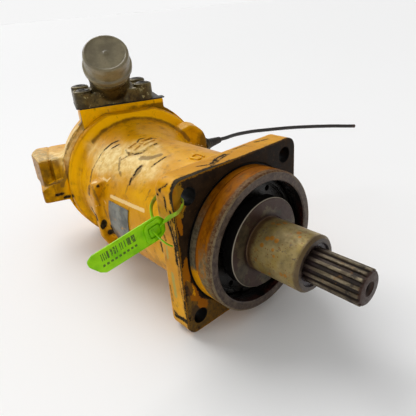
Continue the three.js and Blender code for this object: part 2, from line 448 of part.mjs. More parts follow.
// Free cable, stiff enough to stand out from its gland. It is cut off square at its far end.
const CABLE_D = 5.2;
const CABLE = [[-160.0, 124.8, 36.0], [-160.3, 137.3, 35.2], [-162.9, 149.9, 34.2], [-163.7, 162.4, 33.2], [-163.1, 175.0, 32.1], [-161.2, 187.5, 31.1], [-158.0, 199.7, 30.0], [-153.8, 211.6, 28.9], [-149.3, 223.3, 27.9], [-144.6, 235.0, 26.9], [-139.6, 246.6, 25.9], [-134.1, 257.9, 24.8], [-128.1, 269.0, 23.7], [-121.9, 280.0, 22.5], [-115.3, 290.7, 21.4], [-108.7, 301.4, 20.1], [-102.1, 312.1, 18.8], [-95.5, 322.8, 17.2], [-89.0, 333.5, 15.5], [-82.4, 344.2, 14.0]];
add('sensor_cable', sweep(CABLE, CABLE_D / 2, 8, 22), 'black');

// ---------------------------------------------------------------- name plate with rivets, on the -Y side of the bell
{
  const p = [], r0 = BODY_R + GAP, r1 = r0 + 1, a0 = 180 - 17, a1 = 180 + 26, n = 6;
  for (let i = 0; i <= n; i++) { const a = (a0 + (a1 - a0) * i / n) * Math.PI / 180; p.push([r1 * Math.cos(a), r1 * Math.sin(a)]); }
  for (let i = n; i >= 0; i--) { const a = (a0 + (a1 - a0) * i / n) * Math.PI / 180; p.push([r0 * Math.cos(a), r0 * Math.sin(a)]); }
  add('name_plate', plateX(p, -137, -98), 'plate');
}

// ---------------------------------------------------------------- seal tag hung from a flange hole
{
  const tx = -12;
  const flag = [[-83, 35], [-83, 46], [-88, 51.5], [-96, 51.5], [-152, 43], [-157, 39], [-156, 34], [-148, 25.5], [-143, 23], [-90, 29.5]];
  let t = solid(plateX(flag, tx - 0.8, tx + 0.8));
  t = t.add(solid(plateX(roundedRect(-100, -84, 33, 48, 3, 2), tx - 2.5, tx + 2.5)));
  add('seal_tag', geo(t), 'tag');
  const path = [[tx + 3.4, -92, 41], [tx + 9, -88, 43], [5, -80, 50], [7, -73.5, 57], [2, -69.6, 62.5], [-12, -69.2, 64], [-25, -69.6, 63], [-32, -73, 58], [-32, -80, 51], [-24, -87, 45], [tx - 3.4, -92, 42]];
  add('seal_strap', sweep(path, 1.2, 8, 26), 'tag');
}

export default root;
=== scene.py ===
import bpy, bmesh, math
import numpy as np
from mathutils import Matrix, Vector


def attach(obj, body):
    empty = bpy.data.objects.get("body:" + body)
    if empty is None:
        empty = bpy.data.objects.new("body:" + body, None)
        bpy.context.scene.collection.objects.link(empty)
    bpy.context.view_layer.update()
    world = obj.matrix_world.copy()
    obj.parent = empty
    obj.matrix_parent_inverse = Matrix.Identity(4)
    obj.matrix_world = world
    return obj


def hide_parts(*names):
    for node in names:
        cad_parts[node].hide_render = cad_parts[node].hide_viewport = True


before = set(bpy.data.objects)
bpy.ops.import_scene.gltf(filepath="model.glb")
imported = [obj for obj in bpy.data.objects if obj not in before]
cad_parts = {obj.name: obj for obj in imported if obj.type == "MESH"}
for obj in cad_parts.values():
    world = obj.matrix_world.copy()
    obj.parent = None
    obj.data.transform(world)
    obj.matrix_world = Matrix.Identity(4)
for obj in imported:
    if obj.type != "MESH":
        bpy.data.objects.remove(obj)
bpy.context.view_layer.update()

# Everything is drawn in the working frame of the part, in mm: origin at the centre of the flange's mounting face
# on the shaft axis, +X out along the shaft, +Z up. put() turns it into the row frame, in metres.
SHIFT = np.array([103.85, 15.81, 80.0])
BEND = math.radians(22)
PIVOT_X = -158.0
CB, SB = math.cos(BEND), math.sin(BEND)
scene = bpy.context.scene
scene.view_settings.view_transform = "Standard"


# ------------------------------------------------------------------ camera
def row(p):
    return (np.array(p, float) + SHIFT) / 1000.0


RIGHT = Vector((0.67081368, 0.73766439, -0.07655229))
DOWN = Vector((0.28038862, -0.34782235, -0.8946518))
FWD = Vector((-0.68657937, 0.57868027, -0.44015669))
cam_data = bpy.data.cameras.new("camera")
cam_data.sensor_width = 36.0
cam_data.lens = 36.226
cam_data.clip_start = 0.01
cam_data.clip_end = 50
cam = bpy.data.objects.new("camera", cam_data)
scene.collection.objects.link(cam)
m = Matrix((( RIGHT.x, -DOWN.x, -FWD.x), (RIGHT.y, -DOWN.y, -FWD.y), (RIGHT.z, -DOWN.z, -FWD.z)))
cam.matrix_world = Matrix.Translation(Vector(row((254.75, -257.80, 208.05)))) @ m.to_4x4()
scene.camera = cam

# ------------------------------------------------------------------ the cable's route (mm, working frame)
CABLE_D = 5.2
CABLE = [[-160.0, 124.8, 36.0], [-160.3, 137.3, 35.2], [-162.9, 149.9, 34.2], [-163.7, 162.4, 33.2], [-163.1, 175.0, 32.1],
         [-161.2, 187.5, 31.1], [-158.0, 199.7, 30.0], [-153.8, 211.6, 28.9], [-149.3, 223.3, 27.9], [-144.6, 235.0, 26.9],
         [-139.6, 246.6, 25.9], [-134.1, 257.9, 24.8], [-128.1, 269.0, 23.7], [-121.9, 280.0, 22.5], [-115.3, 290.7, 21.4],
         [-108.7, 301.4, 20.1], [-102.1, 312.1, 18.8], [-95.5, 322.8, 17.2], [-89.0, 333.5, 15.5], [-82.4, 344.2, 14.0]]


# ------------------------------------------------------------------ mesh helpers (all in mm)
def mesh_from(verts, faces):
    me = bpy.data.meshes.new("m")
    me.from_pydata([tuple(v) for v in verts], [], [tuple(f) for f in faces])
    me.validate()
    bm = bmesh.new(); bm.from_mesh(me)
    bmesh.ops.remove_doubles(bm, verts=bm.verts, dist=1e-4)
    bmesh.ops.recalc_face_normals(bm, faces=bm.faces)
    bm.to_mesh(me); bm.free()
    return me


def rounded(profile, n=5):
    """Rounds the corners of an open or closed polyline of (a, b) or (a, b, radius)."""
    closed = tuple(profile[0][:2]) == tuple(profile[-1][:2])
    pts = list(profile[:-1]) if closed else list(profile)
    out, N = [], len(pts)
    for i, p in enumerate(pts):
        r = p[2] if len(p) > 2 else 0
        if r <= 0 or (not closed and i in (0, N - 1)):
            out.append((p[0], p[1])); continue
        a, b, c = np.array(pts[i - 1][:2], float), np.array(p[:2], float), np.array(pts[(i + 1) % N][:2], float)
        u, v = a - b, c - b
        lu, lv = np.linalg.norm(u), np.linalg.norm(v)
        u, v = u / lu, v / lv
        ang = math.acos(max(-1, min(1, float(u @ v))))
        if ang > math.pi - 0.02:
            out.append(tuple(b)); continue
        t = min(r / math.tan(ang / 2), 0.48 * lu, 0.48 * lv)
        rr = t * math.tan(ang / 2)
        ctr = b + (u + v) / np.linalg.norm(u + v) * (rr / math.sin(ang / 2))
        s, e = b + u * t - ctr, b + v * t - ctr
        a0, a1 = math.atan2(s[1], s[0]), math.atan2(e[1], e[0])
        d = (a1 - a0 + math.pi) % (2 * math.pi) - math.pi
        for k in range(n + 1):
            q = a0 + d * k / n
            out.append((ctr[0] + rr * math.cos(q), ctr[1] + rr * math.sin(q)))
    if closed:
        out.append(out[0])
    return out


def lathe(profile, seg=96, n=5, wobble=None):
    """Turned about +X. Profile of (x, r[, corner radius]): closed on itself, or both ends on the axis."""
    prof = rounded(profile, n)
    closed = prof[0] == prof[-1]
    if closed:
        prof = prof[:-1]
    verts, rings, faces = [], [], []
    for x, r in prof:
        if r < 1e-6:
            rings.append([len(verts)]); verts.append((x, 0, 0))
        else:
            rings.append(list(range(len(verts), len(verts) + seg)))
            for i in range(seg):
                a = 2 * math.pi * i / seg
                verts.append((x, r * math.cos(a), r * math.sin(a)))
    pairs = list(zip(rings, rings[1:])) + ([(rings[-1], rings[0])] if closed else [])
    for A, B in pairs:
        if len(A) == 1 and len(B) == 1:
            continue
        for i in range(seg):
            j = (i + 1) % seg
            if len(A) == 1:
                faces.append((A[0], B[i], B[j]))
            elif len(B) == 1:
                faces.append((A[i], A[j], B[0]))
            else:
                faces.append((A[i], A[j], B[j], B[i]))
    return mesh_from(verts, faces)


def rod(x0, x1, r, seg=64):
    return lathe([(x0, 0), (x0, r), (x1, r), (x1, 0)], seg)


def prism(points, a0, a1, axis="x", bevel=0.0, segs=3, only_caps=False):
    """Outline in (y, z) pushed along X, or in (x, y) pushed along Z, with rounded edges."""
    n = len(points)
    verts = []
    for a in (a0, a1):
        for p, q in points:
            verts.append((a, p, q) if axis == "x" else (p, q, a))
    faces = [tuple(range(n)), tuple(range(2 * n - 1, n - 1, -1))] + [(i, (i + 1) % n, n + (i + 1) % n, n + i) for i in range(n)]
    me = mesh_from(verts, faces)
    if bevel > 0:
        bm = bmesh.new(); bm.from_mesh(me)
        es = []
        for e in bm.edges:
            if len(e.link_faces) == 2 and e.calc_face_angle(0) > 0.5:
                if only_caps:
                    k = 0 if axis == "x" else 2
                    if abs(e.verts[0].co[k] - e.verts[1].co[k]) > 1e-5:
                        continue
                es.append(e)
        bmesh.ops.bevel(bm, geom=es, offset=bevel, segments=segs, profile=0.5, affect="EDGES", clamp_overlap=True)
        bm.to_mesh(me); bm.free()
    return me


def box(x0, x1, y0, y1, z0, z1, bevel=0.0):
    return prism([(x0, y0), (x1, y0), (x1, y1), (x0, y1)], z0, z1, "z", bevel)


def circle(cx, cy, r, n=48):
    return [(cx + r * math.cos(2 * math.pi * i / n), cy + r * math.sin(2 * math.pi * i / n)) for i in range(n)]


def rrect(x0, x1, y0, y1, r, n=8):
    out = []
    for cx, cy, a in ((x1 - r, y1 - r, 0), (x0 + r, y1 - r, 90), (x0 + r, y0 + r, 180), (x1 - r, y0 + r, 270)):
        for i in range(n + 1):
            t = math.radians(a + 90 * i / n)
            out.append((cx + r * math.cos(t), cy + r * math.sin(t)))
    return out


def moved(me, M):
    me = me.copy(); me.transform(M)
    if M.determinant() < 0:
        me.flip_normals()
    return me


def shift(me, x, y, z):
    return moved(me, Matrix.Translation((x, y, z)))


ROT_Z_UP = Matrix.Rotation(-math.pi / 2, 4, "Y")          # +X -> +Z
ROT_Y = Matrix.Rotation(math.pi / 2, 4, "Z")              # +X -> +Y
TILT = Matrix.Translation((PIVOT_X, 0, 0)) @ Matrix.Rotation(-BEND, 4, "Z")


def _link(me):
    o = bpy.data.objects.new("tmp", me)
    scene.collection.objects.link(o)
    return o


def _baked(o, *others):
    dg = bpy.context.evaluated_depsgraph_get()
    dg.update()
    r = bpy.data.meshes.new_from_object(o.evaluated_get(dg))
    for q in (o,) + others:
        bpy.data.objects.remove(q)
    return r


def boolean(a, b, op):
    oa, ob = _link(a), _link(b)
    md = oa.modifiers.new("b", "BOOLEAN")
    md.operation, md.object, md.solver = op, ob, "MANIFOLD"
    r = _baked(oa, ob)
    if len(r.polygons) == 0:
        raise RuntimeError("empty boolean")
    return r


def union(a, *bs):
    for b in bs:
        a = boolean(a, b, "UNION")
    return a


def minus(a, *bs):
    for b in bs:
        a = boolean(a, b, "DIFFERENCE")
    return a


def soften(me, voxel, steps, factor=0.5):
    """One skin over joined shapes, with the small round fillets of a casting."""
    o = _link(me)
    md = o.modifiers.new("r", "REMESH"); md.mode = "VOXEL"; md.voxel_size = voxel; md.adaptivity = 0
    md = o.modifiers.new("s", "SMOOTH"); md.factor = factor; md.iterations = steps
    return _baked(o)


PIECES = {}


def put(me, name, body, mats, replaces=(), angle=32, index=None):
    """Places a mesh drawn in the working frame as a piece in the row frame."""
    me = me.copy()
    me.transform(Matrix.Scale(0.001, 4) @ Matrix.Translation(SHIFT.tolist()))
    me.name = name
    me.materials.clear()
    for mt in mats:
        me.materials.append(mt)
    if index is not None:
        me.polygons.foreach_set("material_index", np.asarray(index, np.int32))
    else:
        me.polygons.foreach_set("material_index", np.zeros(len(me.polygons), np.int32))
    me.shade_smooth()
    me.set_sharp_from_angle(angle=math.radians(angle))
    o = bpy.data.objects.new(name, me)
    scene.collection.objects.link(o)
    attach(o, body)
    if replaces:
        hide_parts(*replaces)
    PIECES[name] = o
    return o


def centres(me):
    c = np.zeros(len(me.polygons) * 3); me.polygons.foreach_get("center", c)
    n = np.zeros(len(me.polygons) * 3); me.polygons.foreach_get("normal", n)
    return c.reshape(-1, 3), n.reshape(-1, 3)


def coords(me):
    c = np.zeros(len(me.vertices) * 3); me.vertices.foreach_get("co", c)
    return c.reshape(-1, 3)


def attribute(me, name, values):
    a = me.attributes.new(name, "FLOAT", "POINT")
    a.data.foreach_set("value", np.asarray(values, np.float32))


def strokes(co, lines):
    """Distance in mm from each vertex to the nearest of some thick lines: negative inside."""
    best = np.full(len(co), 60.0)
    for pts, r in lines:
        pts = np.array(pts, float)
        lo, hi = pts.min(0) - 30, pts.max(0) + 30
        sel = np.where(((co > lo) & (co < hi)).all(1))[0]
        if len(sel) == 0:
            continue
        P = co[sel]
        rr = r if hasattr(r, "__len__") else [r] * len(pts)
        if len(pts) == 1:
            d = np.linalg.norm(P - pts[0], axis=1) - rr[0]
            best[sel] = np.minimum(best[sel], d); continue
        for i in range(len(pts) - 1):
            a, b = pts[i], pts[i + 1]
            t = np.clip(((P - a) @ (b - a)) / max(1e-9, (b - a) @ (b - a)), 0, 1)
            d = np.linalg.norm(P - (a + t[:, None] * (b - a)), axis=1) - (rr[i] * (1 - t) + rr[i + 1] * t)
            best[sel] = np.minimum(best[sel], d)
    return best


# ------------------------------------------------------------------ material helpers
def srgb(r, g, b):
    f = lambda c: ((c / 255 + 0.055) / 1.055) ** 2.4 if c / 255 > 0.04045 else c / 255 / 12.92
    return (f(r), f(g), f(b), 1.0)


class Mat:
    """A small builder for node materials. Coordinates are the working frame, in mm."""

    def __init__(self, name):
        self.m = bpy.data.materials.new(name)
        self.m.use_nodes = True
        self.t = self.m.node_tree
        self.t.nodes.clear()
        self.out = self.t.nodes.new("ShaderNodeOutputMaterial")
        self.b = self.t.nodes.new("ShaderNodeBsdfPrincipled")
        self.t.links.new(self.b.outputs[0], self.out.inputs[0])
        tc = self.t.nodes.new("ShaderNodeTexCoord")
        mp = self.t.nodes.new("ShaderNodeMapping")
        mp.vector_type = "POINT"
        mp.inputs["Scale"].default_value = (1000, 1000, 1000)
        mp.inputs["Location"].default_value = tuple(-SHIFT)
        self.t.links.new(tc.outputs["Object"], mp.inputs["Vector"])
        self.p = mp.outputs[0]
        sx = self.t.nodes.new("ShaderNodeSeparateXYZ")
        self.t.links.new(self.p, sx.inputs[0])
        self.x, self.y, self.z = sx.outputs
        g = self.t.nodes.new("ShaderNodeNewGeometry")
        sn = self.t.nodes.new("ShaderNodeSeparateXYZ")
        self.t.links.new(g.outputs["Normal"], sn.inputs[0])
        self.nx, self.ny, self.nz = sn.outputs

    def link(self, a, sock):
        if isinstance(a, bpy.types.NodeSocket):
            self.t.links.new(a, sock)
        elif hasattr(a, "__len__") and len(sock.default_value) == 4 and len(a) == 3:
            sock.default_value = (*a, 1)
        else:
            sock.default_value = a

    def math(self, op, a, b=0.0, c=None, clamp=False):
        n = self.t.nodes.new("ShaderNodeMath"); n.operation = op; n.use_clamp = clamp
        self.link(a, n.inputs[0]); self.link(b, n.inputs[1])
        if c is not None:
            self.link(c, n.inputs[2])
        return n.outputs[0]

    def add(self, a, b): return self.math("ADD", a, b)
    def sub(self, a, b): return self.math("SUBTRACT", a, b)
    def mul(self, a, b): return self.math("MULTIPLY", a, b)
    def min(self, a, b): return self.math("MINIMUM", a, b)
    def max(self, a, b): return self.math("MAXIMUM", a, b)

    def step(self, v, lo, hi, o0=0.0, o1=1.0):
        n = self.t.nodes.new("ShaderNodeMapRange"); n.interpolation_type = "SMOOTHSTEP"
        self.link(v, n.inputs["Value"])
        if lo > hi:
            lo, hi, o0, o1 = hi, lo, o1, o0
        n.inputs["From Min"].default_value = lo; n.inputs["From Max"].default_value = hi
        n.inputs["To Min"].default_value = o0; n.inputs["To Max"].default_value = o1
        return n.outputs[0]

    def noise(self, scale, detail=4, rough=0.55, stretch=None, dist=0.0, offset=0.0):
        v = self.p
        if stretch or offset:
            mp = self.t.nodes.new("ShaderNodeMapping")
            mp.inputs["Scale"].default_value = stretch or (1, 1, 1)
            mp.inputs["Location"].default_value = (offset, offset * 0.7, -offset)
            self.t.links.new(v, mp.inputs["Vector"]); v = mp.outputs[0]
        n = self.t.nodes.new("ShaderNodeTexNoise")
        n.inputs["Scale"].default_value = scale; n.inputs["Detail"].default_value = detail
        n.inputs["Roughness"].default_value = rough; n.inputs["Distortion"].default_value = dist
        self.t.links.new(v, n.inputs["Vector"])
        return n.outputs["Fac"]

    def voronoi(self, scale, feature="F1", rand=1.0, stretch=None):
        v = self.p
        if stretch:
            mp = self.t.nodes.new("ShaderNodeMapping")
            mp.inputs["Scale"].default_value = stretch
            self.t.links.new(v, mp.inputs["Vector"]); v = mp.outputs[0]
        n = self.t.nodes.new("ShaderNodeTexVoronoi"); n.feature = feature
        n.inputs["Scale"].default_value = scale; n.inputs["Randomness"].default_value = rand
        self.t.links.new(v, n.inputs["Vector"])
        return n.outputs["Distance"]

    def attr(self, name):
        n = self.t.nodes.new("ShaderNodeAttribute"); n.attribute_name = name
        return n.outputs["Fac"]

    def mix(self, f, a, b, mode="MIX"):
        n = self.t.nodes.new("ShaderNodeMix"); n.data_type = "RGBA"; n.blend_type = mode
        self.link(f, n.inputs[0]); self.link(a, n.inputs[6]); self.link(b, n.inputs[7])
        return n.outputs[2]

    def mixf(self, f, a, b):
        n = self.t.nodes.new("ShaderNodeMix"); n.data_type = "FLOAT"
        self.link(f, n.inputs[0]); self.link(a, n.inputs[2]); self.link(b, n.inputs[3])
        return n.outputs[0]

    def bump(self, h, dist=0.0003, strength=1.0):
        n = self.t.nodes.new("ShaderNodeBump")
        n.inputs["Strength"].default_value = strength; n.inputs["Distance"].default_value = dist
        self.link(h, n.inputs["Height"])
        self.t.links.new(n.outputs[0], self.b.inputs["Normal"])

    def set(self, **kw):
        for k, v in kw.items():
            self.link(v, self.b.inputs[k.replace("_", " ")])
        return self.m

    def ell(self, cy, cz, ry, rz, ang=0.0):
        """1 at the centre of an ellipse on the flange face, 0 at its edge, negative outside."""
        ca, sa = math.cos(math.radians(ang)), math.sin(math.radians(ang))
        dy, dz = self.add(self.y, -cy), self.add(self.z, -cz)
        a = self.mul(self.add(self.mul(dy, ca), self.mul(dz, sa)), 1 / ry)
        b = self.mul(self.sub(self.mul(dz, ca), self.mul(dy, sa)), 1 / rz)
        return self.sub(1.0, self.math("SQRT", self.add(self.mul(a, a), self.mul(b, b))))

    # distance to the shaft axis, and along the tilted axis
    def radius(self):
        return self.math("SQRT", self.add(self.mul(self.y, self.y), self.mul(self.z, self.z)))

    def back(self):
        """w: mm behind the pivot along the tilted axis."""
        return self.sub(self.mul(self.y, SB), self.mul(self.add(self.x, -PIVOT_X), CB))


# ------------------------------------------------------------------ materials
def paint(name, attrs=True, chips=1.0):
    k = Mat(name)
    big = k.noise(0.018, 4, 0.6)
    mid = k.noise(0.09, 5, 0.6, offset=13)
    fine = k.noise(0.9, 3, 0.6)
    col = k.mix(k.step(big, 0.35, 0.68), srgb(206, 140, 0), srgb(228, 166, 0))
    col = k.mix(k.mul(k.step(mid, 0.50, 0.72), 0.6), col, srgb(176, 114, 0))
    # faces turned forwards at the rear are painted a brighter yellow: a painted light where the key light does not
    # reach
    front_face_painted_light = k.mul(k.step(k.nx, 0.55, 0.85), k.step(k.x, -165, -185))
    col = k.mix(k.mul(front_face_painted_light, 0.9), col, srgb(255, 188, 0))
    # darker in patches on faces turned downwards, a painted shade, and in random blotches of grime
    down_facing_shade = k.step(k.nz, 0.25, -0.75)
    grime_and_painted_shade = k.mul(k.add(k.mul(down_facing_shade, 0.8), k.step(mid, 0.56, 0.75, 0, 0.4)), k.step(k.noise(0.05, 5, 0.65, offset=40), 0.40, 0.62))
    col = k.mix(grime_and_painted_shade, col, srgb(104, 70, 10))
    # thin dark drips and smudges
    drip = k.mul(k.step(k.noise(0.055, 6, 0.72, stretch=(1.6, 1.6, 0.55), offset=55), 0.585, 0.66), 0.55)
    col = k.mix(drip, col, srgb(118, 76, 8))
    if attrs:
        # cream patches: partly dust on the paint, partly a painted sheen of the soft light on the glossy paint
        dust_and_sheen = k.attr("dust_and_sheen")
        dust_sheen_mask = k.math("MULTIPLY", k.step(k.add(dust_and_sheen, k.mul(k.sub(k.noise(0.060, 5, 0.55, offset=7), 0.5), 0.8)), 0.10, 0.95), 0.95)
        cream = k.mix(k.step(k.noise(0.13, 5, 0.7, offset=66), 0.35, 0.66), srgb(222, 180, 96), srgb(248, 222, 156))
        col = k.mix(dust_sheen_mask, col, cream)
        smear = k.mul(k.step(k.noise(0.05, 5, 0.7, stretch=(1, 2.2, 1), offset=90), 0.54, 0.74), dust_sheen_mask)
        col = k.mix(k.mul(smear, 0.6), col, srgb(160, 122, 60))
        # on the block at the rear of the head the sides are painted a darker orange and the top toned down to grey tan:
        # painted shade set by which way each face turns
        block_painted_shade = k.mul(k.step(k.x, -258, -264), k.step(k.y, -60, -66))
        col = k.mix(k.mul(k.mul(block_painted_shade, k.step(k.nz, 0.6, 0.3)), k.step(mid, 0.3, 0.6, 0.45, 0.8)), col, srgb(118, 74, 0))
        col = k.mix(k.mul(k.mul(block_painted_shade, k.step(k.nz, 0.6, 0.85)), k.step(k.noise(0.2, 5, 0.7, offset=49), 0.42, 0.58, 0.15, 0.7)), col, srgb(150, 126, 84))
        # dark brown: soot, and painted shade in creases, at joints and under the lug
        g2 = k.attr("soot_and_shade")
        soot_and_shade = k.step(k.add(g2, k.mul(k.sub(k.noise(0.11, 5, 0.65, offset=3), 0.5), 0.9)), 0.35, 0.85)
        col = k.mix(k.mul(soot_and_shade, 0.8), col, srgb(88, 58, 14))
        dirt = k.step(k.add(k.attr("smear"), k.mul(k.sub(k.noise(0.22, 5, 0.75, offset=35), 0.5), 6.0)), 1.2, -0.8)
        col = k.mix(k.mul(dirt, 0.72), col, srgb(104, 76, 36))
        ol = k.step(k.add(k.attr("olive"), k.mul(k.sub(k.noise(0.3, 4, 0.7, offset=37), 0.5), 4.0)), 0.8, -0.8)
        col = k.mix(k.mul(ol, 0.85), col, srgb(158, 152, 74))
        chip = k.add(k.attr("chip"), k.add(k.mul(k.sub(k.noise(0.30, 4, 0.7, offset=5), 0.5), 4.6), k.mul(k.sub(k.noise(1.1, 3, 0.7, offset=25), 0.5), 1.6)))
        bare = k.step(chip, 0.22, -0.22)
        halo = k.mul(k.step(chip, 1.9, 0.1), 0.5)
        # pale cream strokes: worn pale paint, and painted highlights along edges and ridges
        pale_wear_and_highlight = k.step(k.add(k.attr("pale_wear_and_highlight"), k.mul(k.sub(k.noise(0.45, 4, 0.7, offset=15), 0.5), 3.0)), 0.3, -0.3)
        col = k.mix(k.mul(pale_wear_and_highlight, 0.9), col, srgb(240, 206, 140))
        col = k.mix(halo, col, srgb(140, 94, 20))
    else:
        bare = 0.0
        dust_sheen_mask = 0.0
    # small random nicks
    nick = k.mul(k.step(k.noise(0.15, 6, 0.78, offset=60), 0.690, 0.705), chips)
    bare = k.max(bare, nick) if attrs else nick
    metal = k.mix(k.step(k.noise(0.3, 4, 0.6, offset=22), 0.42, 0.62), srgb(20, 14, 8), srgb(54, 44, 31))
    col = k.mix(bare, col, metal)
    rough = k.add(k.mul(k.noise(0.12, 5, 0.6, offset=30), 0.34), 0.20)
    rough = k.mixf(dust_sheen_mask, rough, 0.40)
    rough = k.mixf(bare, rough, 0.75)
    h = k.add(k.mul(k.noise(0.16, 4, 0.5, offset=77), 1.0), k.mul(fine, 0.16))
    h = k.sub(h, k.mul(bare, 0.7))
    k.bump(h, 0.0007, 0.6)
    k.b.inputs["Specular IOR Level"].default_value = 0.17
    k.b.inputs["Specular Tint"].default_value = (1.0, 0.78, 0.2, 1)
    return k.set(Base_Color=col, Roughness=rough, Metallic=0.0)


def flange_face():
    k = Mat("flange_face")
    n1 = k.noise(0.05, 5, 0.6)
    nn = k.noise(0.16, 6, 0.75, offset=31)
    col = k.mix(k.step(n1, 0.35, 0.7), srgb(26, 17, 9), srgb(50, 34, 18))
    col = k.mix(k.mul(k.step(k.noise(0.25, 5, 0.7, offset=9), 0.55, 0.72), 0.7), col, srgb(72, 50, 26))
    # old paint left at the corners and low on the left, broken up by noise
    def patch(fields, amp, colour, strength, base):
        f = fields[0]
        for g in fields[1:]:
            f = k.max(f, g)
        m = k.step(k.add(f, k.mul(k.sub(nn, 0.5), amp)), -0.02, 0.12)
        return k.mix(k.mul(m, strength), base, colour)
    tan = k.mix(k.step(k.noise(0.3, 5, 0.7, offset=71), 0.38, 0.62), srgb(88, 68, 36), srgb(126, 92, 32))
    col = patch([k.ell(-58, -66, 26, 16), k.ell(-30, -74, 26, 8), k.ell(-72, -48, 8, 18)], 2.6, tan, 0.8, col)
    col = patch([k.ell(-74, -8, 5.5, 15, -8), k.ell(-69.5, -34, 5, 14, 20), k.ell(-60, -52, 5, 9, 35), k.ell(-76, 44, 2.6, 13, 4), k.ell(-77, 66, 3.4, 12)], 1.7, srgb(164, 98, 4), 0.85, col)
    col = patch([k.ell(-71.5, -27, 2.4, 12, 18)], 1.6, srgb(214, 150, 4), 0.95, col)
    col = patch([k.ell(-73, 63, 6, 17)], 2.6, srgb(156, 112, 14), 0.75, col)
    col = patch([k.ell(-74, -26, 4.2, 10, 10), k.ell(-68, -60, 6, 12, 20)], 1.8, srgb(60, 46, 32), 0.8, col)
    edge = k.step(k.add(k.max(k.math("ABSOLUTE", k.y), k.math("ABSOLUTE", k.z)), k.mul(k.sub(k.noise(0.3, 4, 0.7), 0.5), 6)), 78.2, 79.4)
    col = k.mix(k.mul(edge, k.step(k.y, 20, -20, 0.15, 0.75)), col, srgb(150, 100, 8))
    k.bump(k.add(k.noise(0.5, 4, 0.7), k.mul(nn, 0.8)), 0.0004, 0.5)
    k.b.inputs["Specular IOR Level"].default_value = 0.08
    return k.set(Base_Color=col, Roughness=k.step(n1, 0.3, 0.7, 0.45, 0.65), Metallic=0.0)


def pilot_ring():
    k = Mat("pilot_ring")
    streak = k.noise(0.08, 5, 0.65, stretch=(2.4, 1, 1))
    n2 = k.noise(0.4, 4, 0.7, offset=12)
    rust = k.mix(k.step(streak, 0.30, 0.68), srgb(104, 54, 0), srgb(158, 92, 0))
    rust = k.mix(k.mul(k.step(k.noise(0.14, 5, 0.7, offset=44), 0.55, 0.70), 0.7), rust, srgb(112, 88, 44))
    steel = k.mix(k.step(n2, 0.35, 0.65), srgb(88, 80, 58), srgb(134, 118, 84))
    # rust is strongest over the top left; lower down and to the right bare steel and some paint show
    ang = k.add(k.mul(k.z, 0.9), k.mul(k.y, -0.30))
    up = k.step(k.add(ang, k.mul(k.sub(streak, 0.5), 55)), 18, 42)
    low = k.mix(k.step(k.noise(0.1, 5, 0.7, stretch=(2.2, 1, 1), offset=70), 0.46, 0.60), steel, srgb(146, 96, 36))
    col = k.mix(up, low, rust)
    seamr = k.mul(k.step(k.math("ABSOLUTE", k.sub(k.add(k.x, k.mul(k.sub(n2, 0.5), 2)), 10.4)), 2.0, 1.0), k.step(k.z, -52, -30))
    col = k.mix(k.mul(seamr, 0.85), col, srgb(146, 80, 4))
    # bands: bare steel next to the flange on the left side, then the rusted land, then a dark worn front
    band = k.mul(k.step(k.add(k.x, k.mul(k.sub(n2, 0.5), 2)), 8.9, 7.6), k.step(k.add(k.z, k.mul(k.y, 0.8)), 26, -20))
    col = k.mix(k.mul(band, k.step(k.z, -48, -34, 0.0, 0.9)), col, k.mix(k.step(n2, 0.4, 0.6), srgb(66, 66, 54), srgb(98, 94, 76)))
    line = k.step(k.math("ABSOLUTE", k.sub(k.x, 8.2)), 0.9, 0.3)
    col = k.mix(k.mul(line, 0.6), col, srgb(84, 42, 4))
    wedge = k.mul(k.mul(k.step(k.add(k.z, k.mul(k.sub(n2, 0.5), 16)), -1, -9), k.step(k.y, 0, -20)), k.step(k.add(k.x, k.add(k.mul(k.z, 0.16), k.mul(k.sub(n2, 0.5), 5))), 10.5, 8.5))
    col = k.mix(k.mul(wedge, 0.95), col, srgb(216, 150, 2))
    lip = k.step(k.add(k.x, k.add(k.mul(k.sub(n2, 0.5), 3), k.mul(k.sub(streak, 0.5), 8))), 21.0, 23.6)
    col = k.mix(k.mul(lip, 0.85), col, k.mix(k.step(n2, 0.42, 0.6), srgb(70, 50, 40), srgb(112, 92, 66)))
    # a light grey line at the front corner on the left: a painted highlight
    corner = k.mul(k.step(k.x, 26.7, 27.1), k.step(k.sub(k.mul(k.y, -1), k.mul(k.z, 0.6)), -20, 10))
    col = k.mix(k.mul(corner, k.step(n2, 0.38, 0.5, 0.2, 0.7)), col, srgb(122, 110, 86))
    k.bump(k.add(k.noise(0.35, 5, 0.7), k.mul(k.noise(2.2, 2, 0.6), 0.3)), 0.0005, 0.5)
    k.b.inputs["Specular IOR Level"].default_value = 0.1
    k.b.inputs["Specular Tint"].default_value = (1.0, 0.80, 0.45, 1)
    return k.set(Base_Color=col, Roughness=k.step(streak, 0.3, 0.7, 0.40, 0.58), Metallic=0.1)


def ring_front():
    k = Mat("pilot_front")
    n = k.noise(0.2, 5, 0.7)
    col = k.mix(k.step(n, 0.35, 0.68), srgb(56, 40, 32), srgb(96, 82, 68))
    col = k.mix(k.step(k.noise(0.5, 4, 0.7, offset=9), 0.56, 0.68), col, srgb(50, 24, 20))
    r = k.radius()
    # a lighter band at the outer edge of the front face: a painted highlight
    col = k.mix(k.mul(k.step(k.add(r, k.mul(k.sub(n, 0.5), 1.2)), 68.0, 68.5), 0.6), col, srgb(126, 110, 84))
    k.bump(k.noise(0.6, 4, 0.7), 0.0003, 0.5)
    return k.set(Base_Color=col, Roughness=k.step(n, 0.3, 0.7, 0.36, 0.55), Metallic=0.4)


def recess():
    k = Mat("recess_bore")
    n = k.noise(0.1, 4, 0.6)
    # near-black walls: a painted shade inside the recess of the pilot
    col = k.mix(k.step(n, 0.35, 0.7), srgb(9, 8, 7), srgb(26, 20, 17))
    # reddish film near the mouth
    col = k.mix(k.mul(k.step(k.x, 17, 26), k.step(n, 0.38, 0.6)), col, srgb(58, 28, 22))
    k.bump(k.noise(0.6, 3, 0.6), 0.0004, 0.5)
    return k.set(Base_Color=col, Roughness=0.24, Metallic=0.0)


